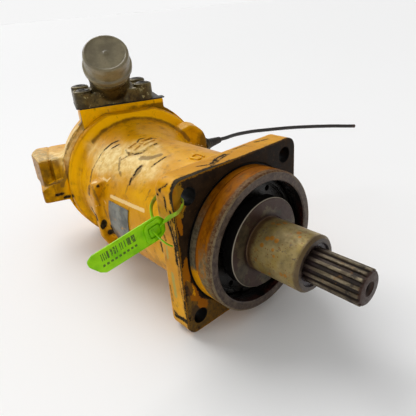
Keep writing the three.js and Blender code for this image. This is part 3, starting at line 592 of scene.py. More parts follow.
def metal(name, dark, light, metallic=0.7, r0=0.3, r1=0.55, scale=0.12, rust=None, rust_amt=0.5, bump=0.0003, stretch=None):
    k = Mat(name)
    n = k.noise(scale, 5, 0.65, stretch=stretch)
    n2 = k.noise(scale * 6, 4, 0.7, offset=17)
    col = k.mix(k.step(n, 0.32, 0.7), dark, light)
    col = k.mix(k.mul(k.step(n2, 0.55, 0.75), 0.4), col, dark)
    if rust is not None:
        col = k.mix(k.step(k.noise(scale * 1.7, 5, 0.7, offset=51), 0.62 - 0.12 * rust_amt, 0.74 - 0.12 * rust_amt), col, rust)
    k.bump(k.add(n2, k.mul(n, 0.6)), bump, 0.5)
    return k.set(Base_Color=col, Roughness=k.step(n, 0.3, 0.7, r0, r1), Metallic=metallic)


def sleeve():
    k = Mat("sleeve_steel")
    n = k.noise(0.06, 5, 0.6)
    n2 = k.noise(0.3, 5, 0.7, offset=4)
    col = k.mix(k.step(n, 0.34, 0.68), srgb(112, 96, 56), srgb(150, 131, 82))
    col = k.mix(k.mul(k.step(n2, 0.52, 0.70), 0.5), col, srgb(90, 72, 38))
    col = k.mix(k.mul(k.step(k.noise(0.045, 4, 0.6, offset=33), 0.5, 0.68), 0.6), col, srgb(142, 118, 44))
    # specks and runs of rust over the middle of the sleeve
    zone = k.mul(k.step(k.x, 36, 44), k.step(k.x, 80, 72))
    v = k.voronoi(0.115)
    speck = k.mul(k.mul(k.step(k.add(v, k.mul(k.sub(n2, 0.5), 0.14)), 0.30, 0.23), k.step(k.noise(0.05, 3, 0.5, offset=2), 0.36, 0.44)), zone)
    col = k.mix(k.mul(speck, 0.9), col, srgb(156, 98, 0))
    v2 = k.voronoi(0.34)
    speck2 = k.mul(k.step(k.add(v2, k.mul(k.sub(n2, 0.5), 0.1)), 0.25, 0.17), k.step(k.noise(0.09, 3, 0.5, offset=12), 0.44, 0.52))
    col = k.mix(k.mul(speck2, 0.8), col, srgb(112, 60, 10))
    grey = k.mul(k.step(k.noise(0.16, 5, 0.75, stretch=(1, 1.6, 1), offset=81), 0.60, 0.65), 0.8)
    col = k.mix(grey, col, srgb(78, 66, 60))
    root = k.mul(k.step(k.add(k.x, k.mul(k.sub(n2, 0.5), 8)), 37, 32), 0.85)
    col = k.mix(root, col, srgb(62, 32, 16))
    tip = k.step(k.add(k.x, k.mul(k.sub(n2, 0.5), 3)), 79, 82.5)
    col = k.mix(k.mul(tip, 0.75), col, srgb(70, 52, 40))
    k.bump(k.add(n2, k.mul(speck, 0.5)), 0.0003, 0.5)
    k.b.inputs["Specular Tint"].default_value = (1.0, 0.92, 0.75, 1)
    return k.set(Base_Color=col, Roughness=k.step(n2, 0.3, 0.7, 0.32, 0.52), Metallic=0.3)


def disc():
    k = Mat("disc_steel")
    n = k.noise(0.07, 5, 0.65)
    n2 = k.noise(0.35, 5, 0.75, offset=4)
    col = k.mix(k.step(n, 0.34, 0.66), srgb(48, 40, 28), srgb(84, 72, 52))
    col = k.mix(k.mul(k.step(n2, 0.52, 0.7), 0.5), col, srgb(36, 28, 20))
    stain = k.step(k.add(k.noise(0.035, 5, 0.75, offset=23), k.add(k.mul(k.step(k.radius(), 34, 45), 0.05), k.mul(k.step(k.math("ABSOLUTE", k.add(k.y, k.z)), 22, 50), 0.06))), 0.53, 0.56)
    col = k.mix(k.mul(stain, 0.85), col, srgb(54, 32, 26))
    inner = k.step(k.add(k.radius(), k.mul(k.sub(n2, 0.5), 5)), 32, 28.5)
    col = k.mix(k.mul(inner, 0.85), col, srgb(44, 20, 12))
    # the outer side of the disc is near black and does not reflect: a painted shade
    side = k.mul(k.step(k.radius(), 44.5, 44.9), k.step(k.x, 28.4, 28.0))
    col = k.mix(side, col, srgb(16, 14, 12))
    # a light line round the outer edge of the front face: a painted highlight
    rim = k.mul(k.step(k.radius(), 44.2, 44.6), k.step(k.x, 28.0, 28.4))
    col = k.mix(rim, col, srgb(150, 140, 122))
    k.bump(n2, 0.0003, 0.5)
    k.b.inputs["Specular IOR Level"].default_value = 0.35
    return k.set(Base_Color=col, Roughness=k.step(n2, 0.3, 0.7, 0.30, 0.5), Metallic=k.mixf(side, 0.35, 0.0))


def spline():
    k = Mat("spline_steel")
    n = k.noise(0.1, 5, 0.65, stretch=(0.35, 1.6, 1.6))
    n2 = k.noise(0.5, 5, 0.75, stretch=(0.5, 1, 1), offset=4)
    r = k.radius()
    crest = k.step(r, 14.6, 15.7)
    col = k.mix(crest, srgb(34, 25, 19), k.mix(k.step(n, 0.35, 0.65), srgb(80, 68, 50), srgb(134, 122, 98)))
    col = k.mix(k.mul(k.step(n2, 0.52, 0.68), 0.6), col, srgb(54, 42, 32))
    col = k.mix(k.mul(k.step(k.noise(0.12, 5, 0.7, offset=61), 0.60, 0.68), 0.6), col, srgb(142, 96, 34))
    col = k.mix(k.mul(k.step(k.x, 96, 86), 0.7), col, srgb(60, 44, 44))
    col = k.mix(k.mul(k.step(k.noise(0.075, 5, 0.7, offset=88), 0.46, 0.58), 0.6), col, srgb(56, 42, 32))
    col = k.mix(k.mul(k.step(k.x, 131.0, 133.6), k.step(n2, 0.36, 0.50, 0.45, 0.9)), col, srgb(58, 36, 26))
    band = k.mul(k.step(k.math("ABSOLUTE", k.sub(k.x, 125)), 3.4, 1.6), k.step(n2, 0.42, 0.52))
    col = k.mix(k.mul(band, 0.7), col, srgb(34, 30, 26))
    k.bump(k.add(n2, k.mul(n, 0.5)), 0.0004, 0.6)
    return k.set(Base_Color=col, Roughness=k.step(n2, 0.3, 0.7, 0.34, 0.6), Metallic=0.6)


def adapter():
    k = Mat("adapter_steel")
    n = k.noise(0.06, 5, 0.65)
    n2 = k.noise(0.28, 5, 0.72, offset=14)
    col = k.mix(k.step(n, 0.34, 0.66), srgb(54, 42, 14), srgb(104, 88, 44))
    col = k.mix(k.mul(k.step(n2, 0.52, 0.68), 0.75), col, srgb(28, 21, 8))
    col = k.mix(k.mul(k.step(k.noise(0.13, 5, 0.7, offset=71), 0.60, 0.66), 0.8), col, srgb(170, 160, 112))
    # faces turned upwards are lightened: a painted highlight
    col = k.mix(k.mul(k.step(k.nz, 0.5, 0.95), 0.25), col, srgb(150, 138, 96))
    k.bump(k.add(n2, k.mul(n, 0.8)), 0.0006, 0.6)
    return k.set(Base_Color=col, Roughness=k.step(n2, 0.3, 0.7, 0.26, 0.55), Metallic=0.55)


def plastic_cap():
    k = Mat("cap_plastic")
    n = k.noise(0.05, 5, 0.6)
    n2 = k.noise(0.35, 5, 0.7, offset=14)
    col = k.mix(k.step(n, 0.34, 0.66), srgb(98, 88, 60), srgb(128, 117, 86))
    col = k.mix(k.mul(k.step(n2, 0.50, 0.72), 0.35), col, srgb(76, 64, 36))
    k.bump(n2, 0.0002, 0.4)
    k.b.inputs["Subsurface Weight"].default_value = 0.15
    k.b.inputs["Subsurface Radius"].default_value = (0.004, 0.0035, 0.0025)
    k.b.inputs["Coat Weight"].default_value = 0.3
    k.b.inputs["Coat Roughness"].default_value = 0.25
    return k.set(Base_Color=col, Roughness=k.step(n2, 0.3, 0.7, 0.34, 0.5), Metallic=0.0)


def black(name, c0, c1, r0=0.4, r1=0.7, scale=0.3):
    k = Mat(name)
    n = k.noise(scale, 4, 0.65)
    k.bump(k.noise(scale * 4, 3, 0.6), 0.0002, 0.5)
    return k.set(Base_Color=k.mix(k.step(n, 0.35, 0.65), c0, c1), Roughness=k.step(n, 0.3, 0.7, r0, r1))


def cable_mat():
    k = Mat("cable_jacket")
    n = k.noise(0.12, 4, 0.65)
    col = k.mix(k.step(n, 0.35, 0.65), srgb(20, 16, 14), srgb(46, 38, 32))
    # dried reddish tip where it was cut
    col = k.mix(k.mul(k.step(k.y, 337, 341), 0.9), col, srgb(66, 42, 30))
    k.bump(k.noise(0.8, 3, 0.6), 0.0002, 0.5)
    return k.set(Base_Color=col, Roughness=k.step(n, 0.3, 0.7, 0.4, 0.62))


def plate_mat():
    k = Mat("bare_plate")
    n = k.noise(0.07, 5, 0.6)
    sc = k.noise(0.25, 5, 0.7, stretch=(0.7, 1.2, 0.12), offset=9)
    col = k.mix(k.step(n, 0.34, 0.66), srgb(88, 90, 84), srgb(138, 138, 128))
    col = k.mix(k.mul(k.step(sc, 0.56, 0.66), 0.6), col, srgb(66, 66, 66))
    col = k.mix(k.mul(k.step(k.noise(0.1, 5, 0.7, offset=60), 0.60, 0.66), 0.8), col, srgb(196, 140, 16))
    k.bump(sc, 0.0002, 0.5)
    return k.set(Base_Color=col, Roughness=k.step(n, 0.3, 0.7, 0.3, 0.5), Metallic=0.6)


def tag_mat():
    k = Mat("tag_plastic")
    n = k.noise(0.06, 4, 0.6)
    col = k.mix(k.step(n, 0.34, 0.66), srgb(118, 190, 0), srgb(152, 216, 4))
    # plain dark bars and a row of dashes, which stand for the printed code. u runs along the tag.
    ang = math.radians(8)
    u = k.add(k.mul(k.add(k.y, 120), math.cos(ang)), k.mul(k.sub(k.z, 38), math.sin(ang)))
    v = k.sub(k.mul(k.sub(k.z, 38), math.cos(ang)), k.mul(k.add(k.y, 120), math.sin(ang)))
    uu = k.add(k.math("FLOOR", k.mul(u, 1.15)), 0.5)
    wn = k.t.nodes.new("ShaderNodeTexWhiteNoise"); wn.noise_dimensions = "1D"
    k.t.links.new(uu, wn.inputs["W"])
    bars = k.math("GREATER_THAN", wn.outputs["Value"], 0.48)
    inside = k.mul(k.mul(k.math("GREATER_THAN", u, -26.0), k.math("LESS_THAN", u, 8.0)), k.mul(k.math("GREATER_THAN", v, -0.5), k.math("LESS_THAN", v, 6.4)))
    frac = k.math("FRACT", k.mul(u, 0.26))
    dash = k.mul(k.math("LESS_THAN", k.math("ABSOLUTE", k.sub(frac, 0.5)), 0.30), k.mul(k.math("GREATER_THAN", v, -5.6), k.math("LESS_THAN", v, -3.4)))
    dash = k.mul(dash, k.mul(k.math("GREATER_THAN", u, -26.0), k.math("LESS_THAN", u, 8.0)))
    ink = k.math("MAXIMUM", k.mul(bars, inside), dash)
    ink = k.mul(ink, k.step(k.noise(0.5, 4, 0.7), 0.36, 0.44))
    ink = k.mul(ink, k.math("GREATER_THAN", k.nx, 0.6))
    col = k.mix(k.mul(ink, 0.85), col, srgb(56, 66, 38))
    # the strap turns a darker olive near where it comes out of the bolt hole
    dy, dz = k.add(k.y, 68), k.add(k.z, -58)
    near = k.step(k.math("SQRT", k.add(k.mul(dy, dy), k.mul(dz, dz))), 24, 10)
    col = k.mix(k.mul(near, k.step(k.noise(0.3, 4, 0.7, offset=19), 0.36, 0.52, 0.35, 0.9)), col, srgb(134, 128, 44))
    k.bump(k.noise(0.4, 3, 0.6), 0.0002, 0.4)
    k.b.inputs["Specular IOR Level"].default_value = 0.3
    k.b.inputs["Specular Tint"].default_value = (0.85, 1.0, 0.4, 1)
    k.b.inputs["Subsurface Weight"].default_value = 0.1
    k.b.inputs["Subsurface Radius"].default_value = (0.002, 0.003, 0.001)
    return k.set(Base_Color=col, Roughness=k.step(n, 0.3, 0.7, 0.28, 0.4))


M_PAINT, M_FACE, M_PILOT, M_FRONT, M_RECESS = paint("yellow_paint"), flange_face(), pilot_ring(), ring_front(), recess()
M_CASTRAW = metal("cast_iron_bare", srgb(50, 44, 38), srgb(92, 84, 74), 0.5, 0.45, 0.7)
# near-black walls: a painted shade inside the bolt holes and the undercut
M_HOLE_SHADE = black("hole_wall_painted_shade", srgb(5, 5, 4), srgb(15, 13, 11), 0.45, 0.65)
M_HOLE_SHADE.node_tree.nodes["Principled BSDF"].inputs["Specular IOR Level"].default_value = 0.15
M_BORE = metal("case_bore", srgb(70, 66, 60), srgb(120, 116, 108), 0.8, 0.25, 0.4)
M_SLEEVE, M_DISC, M_SPLINE, M_ADAPTER, M_CAP = sleeve(), disc(), spline(), adapter(), plastic_cap()
M_BOLT = metal("black_steel", srgb(36, 32, 26), srgb(84, 76, 58), 0.6, 0.34, 0.55, 0.2, srgb(110, 66, 26), 0.3)
# the seal carrier is dark steel made near black: a painted shade in the gap behind the disc
M_CARRIER = metal("carrier_steel", srgb(16, 14, 12), srgb(38, 33, 26), 0.3, 0.24, 0.4, 0.08, srgb(46, 26, 14), 0.4)
M_SEAL = black("seal_rubber", srgb(8, 8, 8), srgb(24, 22, 20), 0.22, 0.4, 0.1)
M_SNAP = metal("snap_steel", srgb(18, 16, 15), srgb(46, 42, 36), 0.6, 0.25, 0.4)
M_RUBBER = black("black_rubber", srgb(12, 11, 9), srgb(34, 30, 24))
M_CABLE, M_PLATE, M_TAG = cable_mat(), plate_mat(), tag_mat()
M_GROUND = metal("ground_steel", srgb(140, 140, 136), srgb(190, 190, 184), 0.9, 0.16, 0.3, 0.2)
M_TURNED = metal("turned_steel", srgb(96, 94, 88), srgb(150, 146, 136), 0.85, 0.25, 0.4, 0.15)
M_BRONZE = metal("lapped_bronze", srgb(130, 88, 40), srgb(186, 134, 70), 0.85, 0.2, 0.35, 0.15)

# ------------------------------------------------------------------ the cable comes first
curve = bpy.data.curves.new("sensor_cable_visual", "CURVE")
curve.dimensions = "3D"


def catmull(pts, per=6):
    P = [np.array(p, float) for p in pts]
    P = [2 * P[0] - P[1]] + P + [2 * P[-1] - P[-2]]
    out = []
    for i in range(1, len(P) - 2):
        for k in range(per):
            t = k / per
            a, b, c, d = P[i - 1], P[i], P[i + 1], P[i + 2]
            out.append(0.5 * (2 * b + (c - a) * t + (2 * a - 5 * b + 4 * c - d) * t * t + (-a + 3 * b - 3 * c + d) * t ** 3))
    out.append(P[-2])
    return out


line = catmull(CABLE, 5)
sp = curve.splines.new("POLY")
sp.points.add(len(line) - 1)
for q, p in zip(sp.points, line):
    q.co = (*row(p), 1)
curve.bevel_depth = CABLE_D / 2000 * 0.985
curve.bevel_resolution = 5
curve.use_fill_caps = True
curve.materials.append(M_CABLE)
cable = bpy.data.objects.new("sensor_cable_visual", curve)
scene.collection.objects.link(cable)
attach(cable, "housing")
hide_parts("sensor_cable")

# ------------------------------------------------------------------ housing
HEAD_BOLTS = [math.radians(d) for d in (30, -12, -50, -130, 206, 141)]
FOUR = [(-1, -1), (-1, 1), (1, -1), (1, 1)]


def U(me, *bs):
    return union(me, *bs)


def ear_outline():
    return rounded([(46, 22), (83, 22, 5), (87.5, 28, 6), (87.5, 48, 8), (84, 58, 9), (76, 65.5, 9), (66, 69, 9), (52, 64), (46, 22)], 6)[:-1]


def big(me, M=None):
    return moved(me, M) if M is not None else me


def housing():
    flange = prism(rrect(-80, 80, -80, 80, 12), -25, 5, "x")
    bell = lathe([(5, 0), (5, 68), (-23, 70), (-24, 76, 3), (-39, 71, 8), (-150, 71), (-176, 70), (-176, 0)], 128)
    rear = moved(lathe([(22, 0), (22, 66), (4, 71.5, 20), (-20, 75.5, 20), (-40, 78.3, 10), (-57, 79.8, 5), (-60.4, 84.6, 3), (-63.2, 93.2, 1.5), (-66.0, 94.8, 1.5), (-84, 94.8), (-84, 0)], 128), TILT)
    rear = minus(rear, moved(box(-86, -50, -45, 45, 89.5, 101), TILT))
    ear = moved(prism(ear_outline(), -54, -26, "x", 2.5), TILT)
    boss = boolean(prism(circle(-145, -11, 22.5, 64), 50, 90, "z"), rod(-176, -100, 73.3, 128), "INTERSECT")
    rib = prism(rounded([(-60, 34), (-72.5, 30, 5), (-76, 22, 5), (-77.5, 4, 8), (-76, -30, 10), (-66, -50, 10), (-56, -44), (-60, 34)], 5)[:-1], -163, -154, "x", 2)
    knob = prism(rounded([(-60, 38), (-69, 37, 5), (-77, 30, 6), (-78, 20, 6), (-60, 12), (-60, 38)], 5)[:-1], -172, -153, "x", 3)
    def raised(x, y, ang, me):
        """A shape on the skin of the bell, standing about 0.9 mm proud of it."""
        return shift(moved(me, Matrix.Rotation(math.radians(ang), 4, "Z")), x, y, 0)
    mark = minus(prism(rrect(-7.4, 7.4, -6.0, 6.0, 4.0, 6), 60, 90, "z"), prism(rrect(-4.8, 4.8, -3.6, 3.6, 2.2, 6), 50, 95, "z"), box(1.5, 12, -1.8, 1.8, 50, 95))
    mark = boolean(raised(-53.5, -6.7, 8, mark), rod(-80, -20, 72.3, 128), "INTERSECT")
    bars = None
    for bx_, by_, bl, ba in ((-147, -23, 5.5, 88), (-142.5, -8, 7.0, 84), (-136, -24, 5.0, 95), (-131.5, -10, 7.5, 88), (-139, -16, 3.2, 10)):
        b_ = raised(bx_, by_, ba, prism(rrect(-bl, bl, -1.5, 1.5, 1.2, 5), 60, 90, "z"))
        bars = b_ if bars is None else union(bars, b_)
    bars = boolean(bars, rod(-176, -100, 74.9, 128), "INTERSECT")
    cast = union(flange, bell, rear, ear, boss, rib, knob)
    cast = soften(cast, 1.5, 5)
    cast = union(cast, mark, bars)
    # machined faces: mounting face, joint face, base flat
    cast = minus(cast, box(0, 40, -120, 120, -120, 120), moved(box(-140, -78, -140, 140, -140, 140), TILT), box(-400, 0, -200, 200, -140, -80))
    ringp = lathe([(-4, 60.5), (-4, 69.4), (0.2, 69.4), (0.4, 70, 0.3), (7.9, 70, 0.2), (8.1, 69.6), (8.7, 69.6), (8.9, 70, 0.2), (26.9, 70, 0.6), (28.2, 68.5, 0.6), (28.2, 61.8, 0.4), (27.2, 60.5, 0.4), (-4, 60.5)], 160)
    undercut = lathe([(-0.9, 69.2), (1, 69.2), (1, 73.0), (0, 72.2), (-0.9, 71.2), (-0.9, 69.2)], 160)
    cast = minus(cast, undercut)
    cast = minus(cast, lathe([(-6, 0), (-6, 60.5), (8, 60.5), (8, 0)], 128))
    cast = union(cast, ringp)
    grooves = union(lathe([(11.4, 50), (11.4, 61.4), (12.6, 61.4), (12.6, 50), (11.4, 50)], 128), lathe([(15.0, 50), (15.0, 61.2), (16.0, 61.2), (16.0, 50), (15.0, 50)], 128),
                    lathe([(18.4, 50), (18.4, 61.0), (19.4, 61.0), (19.4, 50), (18.4, 50)], 128))
    cast = minus(cast, lathe([(-95, 0), (-95, 50.5), (-5, 50.5), (-5, 0)], 96), lathe([(-168, 0), (-168, 54), (-160, 60), (-100, 60), (-92, 51), (-92, 0)], 96),
                 moved(lathe([(-100, 0), (-100, 60), (12, 60), (18, 52), (18, 0)], 96), TILT))
    cast = minus(cast, grooves)
    for sy in (-1, 1):
        for sz in (-1, 1):
            cast = minus(cast, shift(lathe([(-45, 0), (-45, 8), (-0.35, 8), (0.4, 8.6), (10, 8.6), (10, 0)], 48), 0, sy * 63.64, sz * 63.64))
    sb = shift(moved(lathe([(52, 0), (52, 7.3), (120, 7.3), (120, 0)], 40), ROT_Y), -160, 0, 36)
    ss = shift(moved(lathe([(91.5, 0), (91.5, 12.8), (125, 12.8), (125, 0)], 48), ROT_Y), -160, 0, 36)
    cast = minus(cast, sb, ss)
    for a in HEAD_BOLTS:
        cast = minus(cast, moved(shift(rod(-79, -66, 5.6, 24), 0, 84 * math.cos(a), 84 * math.sin(a)), TILT))
    return cast


def head():
    W = lambda w: -w
    body = lathe([(W(150), 0), (W(150), 60), (W(146), 62, 4), (W(140), 66, 4), (W(126), 72, 8), (W(116), 78, 8), (W(106), 82, 5), (W(72), 82), (W(72), 0)], 112)
    rim = shift(lathe([(W(112), 0), (W(112), 92, 3), (W(107), 96, 3), (W(81), 97), (W(72), 96), (W(72), 0)], 128), 0, -4, 4)
    pad = prism([(-61.5, 20), (-61.5, 101), (47.5, 101), (47.5, 20)], W(150), W(72), "x", 4)
    block = prism(rounded([(W(79.2), -70), (W(79.2), -124.5, 2), (W(80.5), -126, 2), (W(125), -135.5, 6), (W(146), -129, 6), (W(146), -70), (W(79.2), -70)], 5)[:-1], 2, 41, "z", 2.2)
    shoulder = shift(moved(box(W(150), W(75), -8, 8, -8, 8), Matrix.Rotation(math.pi / 4, 4, "X")), 0, -139, 46)
    groove = box(W(79.2) - 3.5, W(70), -113.5, -109.5, 1, 60)
    groove_top = box(W(150), W(70), -113.2, -109.8, 38.8, 60)
    lug = prism(rounded([(W(70), -95.4), (W(70), -127, 4), (W(73), -130, 4), (W(118), -132, 5), (W(124), -70), (W(79), -70), (W(79), -95.4, 2), (W(70), -95.4)], 5)[:-1], -15.5, 3, "z", 2.5)
    lug_up = prism([(-95.4, 0), (-129.5, 0), (-129, 2.5), (-127, 4.8), (-119.9, 7.6), (-109.6, 10.3), (-102.3, 12.8), (-95.4, 15.3)], W(90), W(70.4), "x", 0)
    h = union(body, rim, pad, minus(block, groove, groove_top), lug, lug_up)
    h = minus(h, shoulder)
    h = soften(h, 1.5, 5)
    h = minus(h, box(-300, 0, -90, 80, 97.5, 160), box(W(78.3), 30, -94.9, 200, -200, 200), box(W(70), 30, -200, 200, -200, 200), box(-200, W(146), -200, 200, -200, 200),
              box(-200, 0, -200, 200, -160, -80))
    h = minus(h, lathe([(W(104.3), 0), (W(104.3), 46.6), (W(98), 46.6), (W(96), 54), (W(60), 54), (W(60), 0)], 96))
    h = minus(h, shift(moved(lathe([(30, 0), (30, 21), (120, 21), (120, 0)], 64), ROT_Z_UP), W(111), -14, 0))
    h = minus(h, kidney(24, 156, 29, 39, W(118), W(100)), kidney(-156, -24, 29, 39, W(118), W(100)), shift(rod(W(151), W(112), 15, 48), 0, 0, -34))
    for a in HEAD_BOLTS:
        y, z = 84 * math.cos(a), 84 * math.sin(a)
        h = minus(h, shift(rod(W(180), W(70), 6.3, 24), 0, y, z), shift(rod(W(180), W(96), 10.8, 40), 0, y, z))
    for u, v in FOUR:
        h = minus(h, shift(moved(rod(73.5, 103, 6.6, 24), ROT_Z_UP), W(111) + u * 21.45, -14 + v * 38.9, 0))
    return h


def kidney(a0, a1, r0, r1, x0, x1, n=20):
    pts = []
    for r, rng in ((r1, range(n + 1)), (r0, range(n, -1, -1))):
        for i in rng:
            a = math.radians(a0 + (a1 - a0) * i / n)
            pts.append((r * math.cos(a), r * math.sin(a)))
    return prism(pts, x0, x1, "x")


def cap_screw(R, H, r, L):
    """Socket head cap screw along X: head behind x = 0, shank in front, with a finely ribbed head."""
    n = 96
    pts = [((R - (0.22 if i % 2 else 0)) * math.cos(2 * math.pi * i / n), (R - (0.22 if i % 2 else 0)) * math.sin(2 * math.pi * i / n)) for i in range(n)]
    g = prism(pts, -H, 0, "x")
    g = boolean(g, lathe([(-H, 0), (-H, R - 1.3, 0.4), (-H + 1.3, R + 0.1), (-1.2, R + 0.1), (0, R - 0.9), (0, 0)], 96), "INTERSECT")
    g = union(g, lathe([(-1, 0), (-1, r), (L - 1.2, r), (L, r - 1.2), (L, 0)], 40))
    hexa = prism([(R * 0.58 * math.cos(math.pi / 3 * i), R * 0.58 * math.sin(math.pi / 3 * i)) for i in range(6)], -H - 1, -H * 0.45, "x")
    return minus(g, hexa, lathe([(-H - 1, 0), (-H - 1, R * 0.58 + 0.8), (-H + 0.6, R * 0.5), (-H + 0.6, 0)], 48))


def by_face(me, rules, default=0):
    c, n = centres(me)
    idx = np.full(len(c), default, np.int32)
    for k, f in rules:
        idx[f(c, n)] = k
    return idx


def tilt_w(c):
    return c[:, 1] * SB - (c[:, 0] - PIVOT_X) * CB


CHIPS = [
    ([[-158.5,-3.2,73.2],[-157.4,3.7,73.2]], 0.35),
    ([[-146.7,-15.7,71.6],[-152.1,-9.4,72.7],[-146.9,-2.3,73.2],[-141.5,0.2,73.3],[-136.4,2.9,73.2]], 0.6),
    ([[-141.4,-8.6,72.8],[-137.8,-1.4,73.3]], 0.5),
    ([[-140.7,-32.7,64.9],[-132.1,-30.8,64.4],[-124.8,-26.0,66.1],[-122.8,-19.7,68.7]], 0.35),
    ([[-91.6,-36.1,61.1],[-89.5,-29.0,64.8],[-88.2,-25.1,66.4],[-87.3,-21.0,67.8]], 0.55),
    ([[-108.7,-49.1,51.2],[-109.1,-44.1,55.6],[-107.8,-39.9,58.7]], 1),
    ([[-108.0,-56.0,43.6],[-109.8,-52.2,48.0]], 0.9),
    ([[-8.3,-28.3,80.0],[-11.6,-21.5,80.0],[-15.0,-14.6,80.0],[-15.7,-9.2,80.0],[-16.5,-3.6,80.0]], 0.9),
    ([[-13.2,-39.7,80.0],[-10.6,-35.1,80.0],[-8.1,-30.5,80.0]], 0.5),
    ([[-3.5,-72.3,79.1],[-3.0,-65.2,80.0]], 1.8),
    ([[-3.0,-65.2,80.0],[-2.2,-60.0,80.0],[-2.0,-55.7,80.0],[-1.7,-51.3,80.0],[-1.4,-46.9,80.0]], 0.6),
    ([[-17.1,-79.7,70.3]], 1.2),
    ([[-20.9,-80.0,65.2]], 1),
    ([[-10.4,-76.2,76.6]], 0.6),
    ([[-15.0,-79.0,72.4],[-11.4,-77.7,74.9]], 0.5),
    ([[-11.8,-80.0,65.6],[-11.4,-80.0,61.7],[-11.1,-80.0,57.8],[-10.4,-80.0,53.6]], 0.7),
    ([[-41.1,-70.8,5.0],[-40.1,-71.1,0.9],[-39.5,-71.0,-3.4]], 0.9),
    ([[-190.4,-36.1,59.9],[-188.3,-32.1,63.0],[-186.8,-27.7,65.9],[-180.4,-21.4,69.0]], 0.9),
    ([[-178.0,-32.4,63.1],[-172.6,-25.5,66.9]], 0.7),
    ([[-191.5,-38.1,58.3],[-191.5,-43.2,53.5],[-192.7,-47.7,48.4],[-193.9,-51.9,42.6],[-196.6,-55.3,36.2]], 0.35),
    ([[-196.6,-55.3,36.2],[-195.9,-57.8,31.6],[-196.0,-59.9,26.6]], 0.3),
    ([[-169.4,-73.5,32.7],[-163.9,-76.8,29.1],[-164.6,-77.3,22.9]], 0.3),
    ([[-265.8,-79.7,-6.1],[-262.3,-71.4,-4.9]], 1.2),
    ([[-261.8,-69.9,-10.9],[-259.8,-64.7,-11.0],[-252.5,-61.6,-8.9]], 1.2),
    ([[-199.8,-63.1,-11.2],[-197.6,-62.2,-18.3]], 2),
    ([[-160.5,-77.1,-1.2],[-159.2,-77.0,-6.8]], 1.3),
    ([[-153.0,-71.2,-10.1],[-154.0,-73.7,-15.5]], 2.2),
    ([[-141.4,-69.6,-13.6]], 2.2),
    ([[-152.9,-67.1,-25.8],[-141.4,-68.0,-20.4]], 2.2),
    ([[-154.1,-70.4,34.2]], 1.1),
    ([[-130.4,-68.5,18.4]], 1.2),
    ([[-135.5,-70.8,4.5]], 0.7),
    ([[-236.5,-42.9,47.7]], 0.6),
    ([[-251.3,-47.9,51.8]], 0.8),
    ([[-255.2,-57.5,30.4]], 0.8),
    ([[-315.6,-80.4,27.0]], 1.2),
    ([[-295.5,-83.9,20.4]], 1),
    ([[-251.9,-23.4,85.2]], 2.6),
    ([[-10.7,-80.0,42.4],[-9.5,-80.0,38.9],[-8.3,-80.0,35.4],[-7.1,-80.0,31.9],[-5.9,-80.0,26.8],[-4.7,-80.0,21.8],[-4.8,-80.0,16.6],[-5.0,-80.0,11.5],[-5.1,-80.0,6.2],[-5.3,-80.0,0.9]], 0.9),
    ([[-5.7,-80.0,53.6],[-4.5,-80.0,49.2],[-3.2,-80.0,44.9]], 0.8),
    ([[-18.6,-80.0,-64.4],[-10.3,-80.0,-63.0],[-2.2,-80.0,-61.7]], 1.4),
    ([[-21.6,-80.0,-29.3],[-21.1,-80.0,-35.0],[-20.6,-80.0,-40.6],[-20.1,-80.0,-46.4]], 0.4),
    ([[-20.7,-80.0,28.8],[-19.2,-80.0,25.3],[-17.7,-80.0,21.8]], 0.6),
    ([[-65.8,-70.1,11.3],[-62.5,-70.4,8.7],[-59.3,-70.7,6.0]], 0.4),
    ([[-85.7,-68.9,-16.9],[-80.2,-68.5,-18.6],[-74.9,-68.0,-20.4]], 0.5),
    ([[-116.4,-70.9,2.1],[-108.9,-71.0,-0.2]], 0.5),
    ([[-252.6,-27.8,72.3],[-245.7,-24.8,76.6]], 0.5),
    ([[-260.0,-43.5,61.8],[-258.0,-38.6,68.9]], 0.5),
    ([[-123.4,-14.7,71.3],[-122.1,-6.0,71.5]], 0.3),
    ([[-145.4,-40.8,58.0],[-142.5,-37.7,60.1],[-139.5,-34.6,62.1]], 0.3),
    ([[-150.7,87.7,36.8]], 0.5),
    ([[-0.0,-74.0,67.8],[0.0,-77.9,62.8],[0.0,-77.4,59.0],[0.0,-76.8,55.1]], 1.4),
    ([[0.0,-74.8,77.0],[0.0,-78.6,72.1]], 1.2),
    ([[-19.6,9.5,80.0],[-19.7,15.4,80.0],[-19.7,21.5,80.0],[-19.8,27.7,80.0]], 0.4),
    ([[-18.0,40.3,80.0],[-16.6,45.2,80.0],[-15.2,50.0,80.0],[-13.7,55.0,80.0]], 0.5),
]
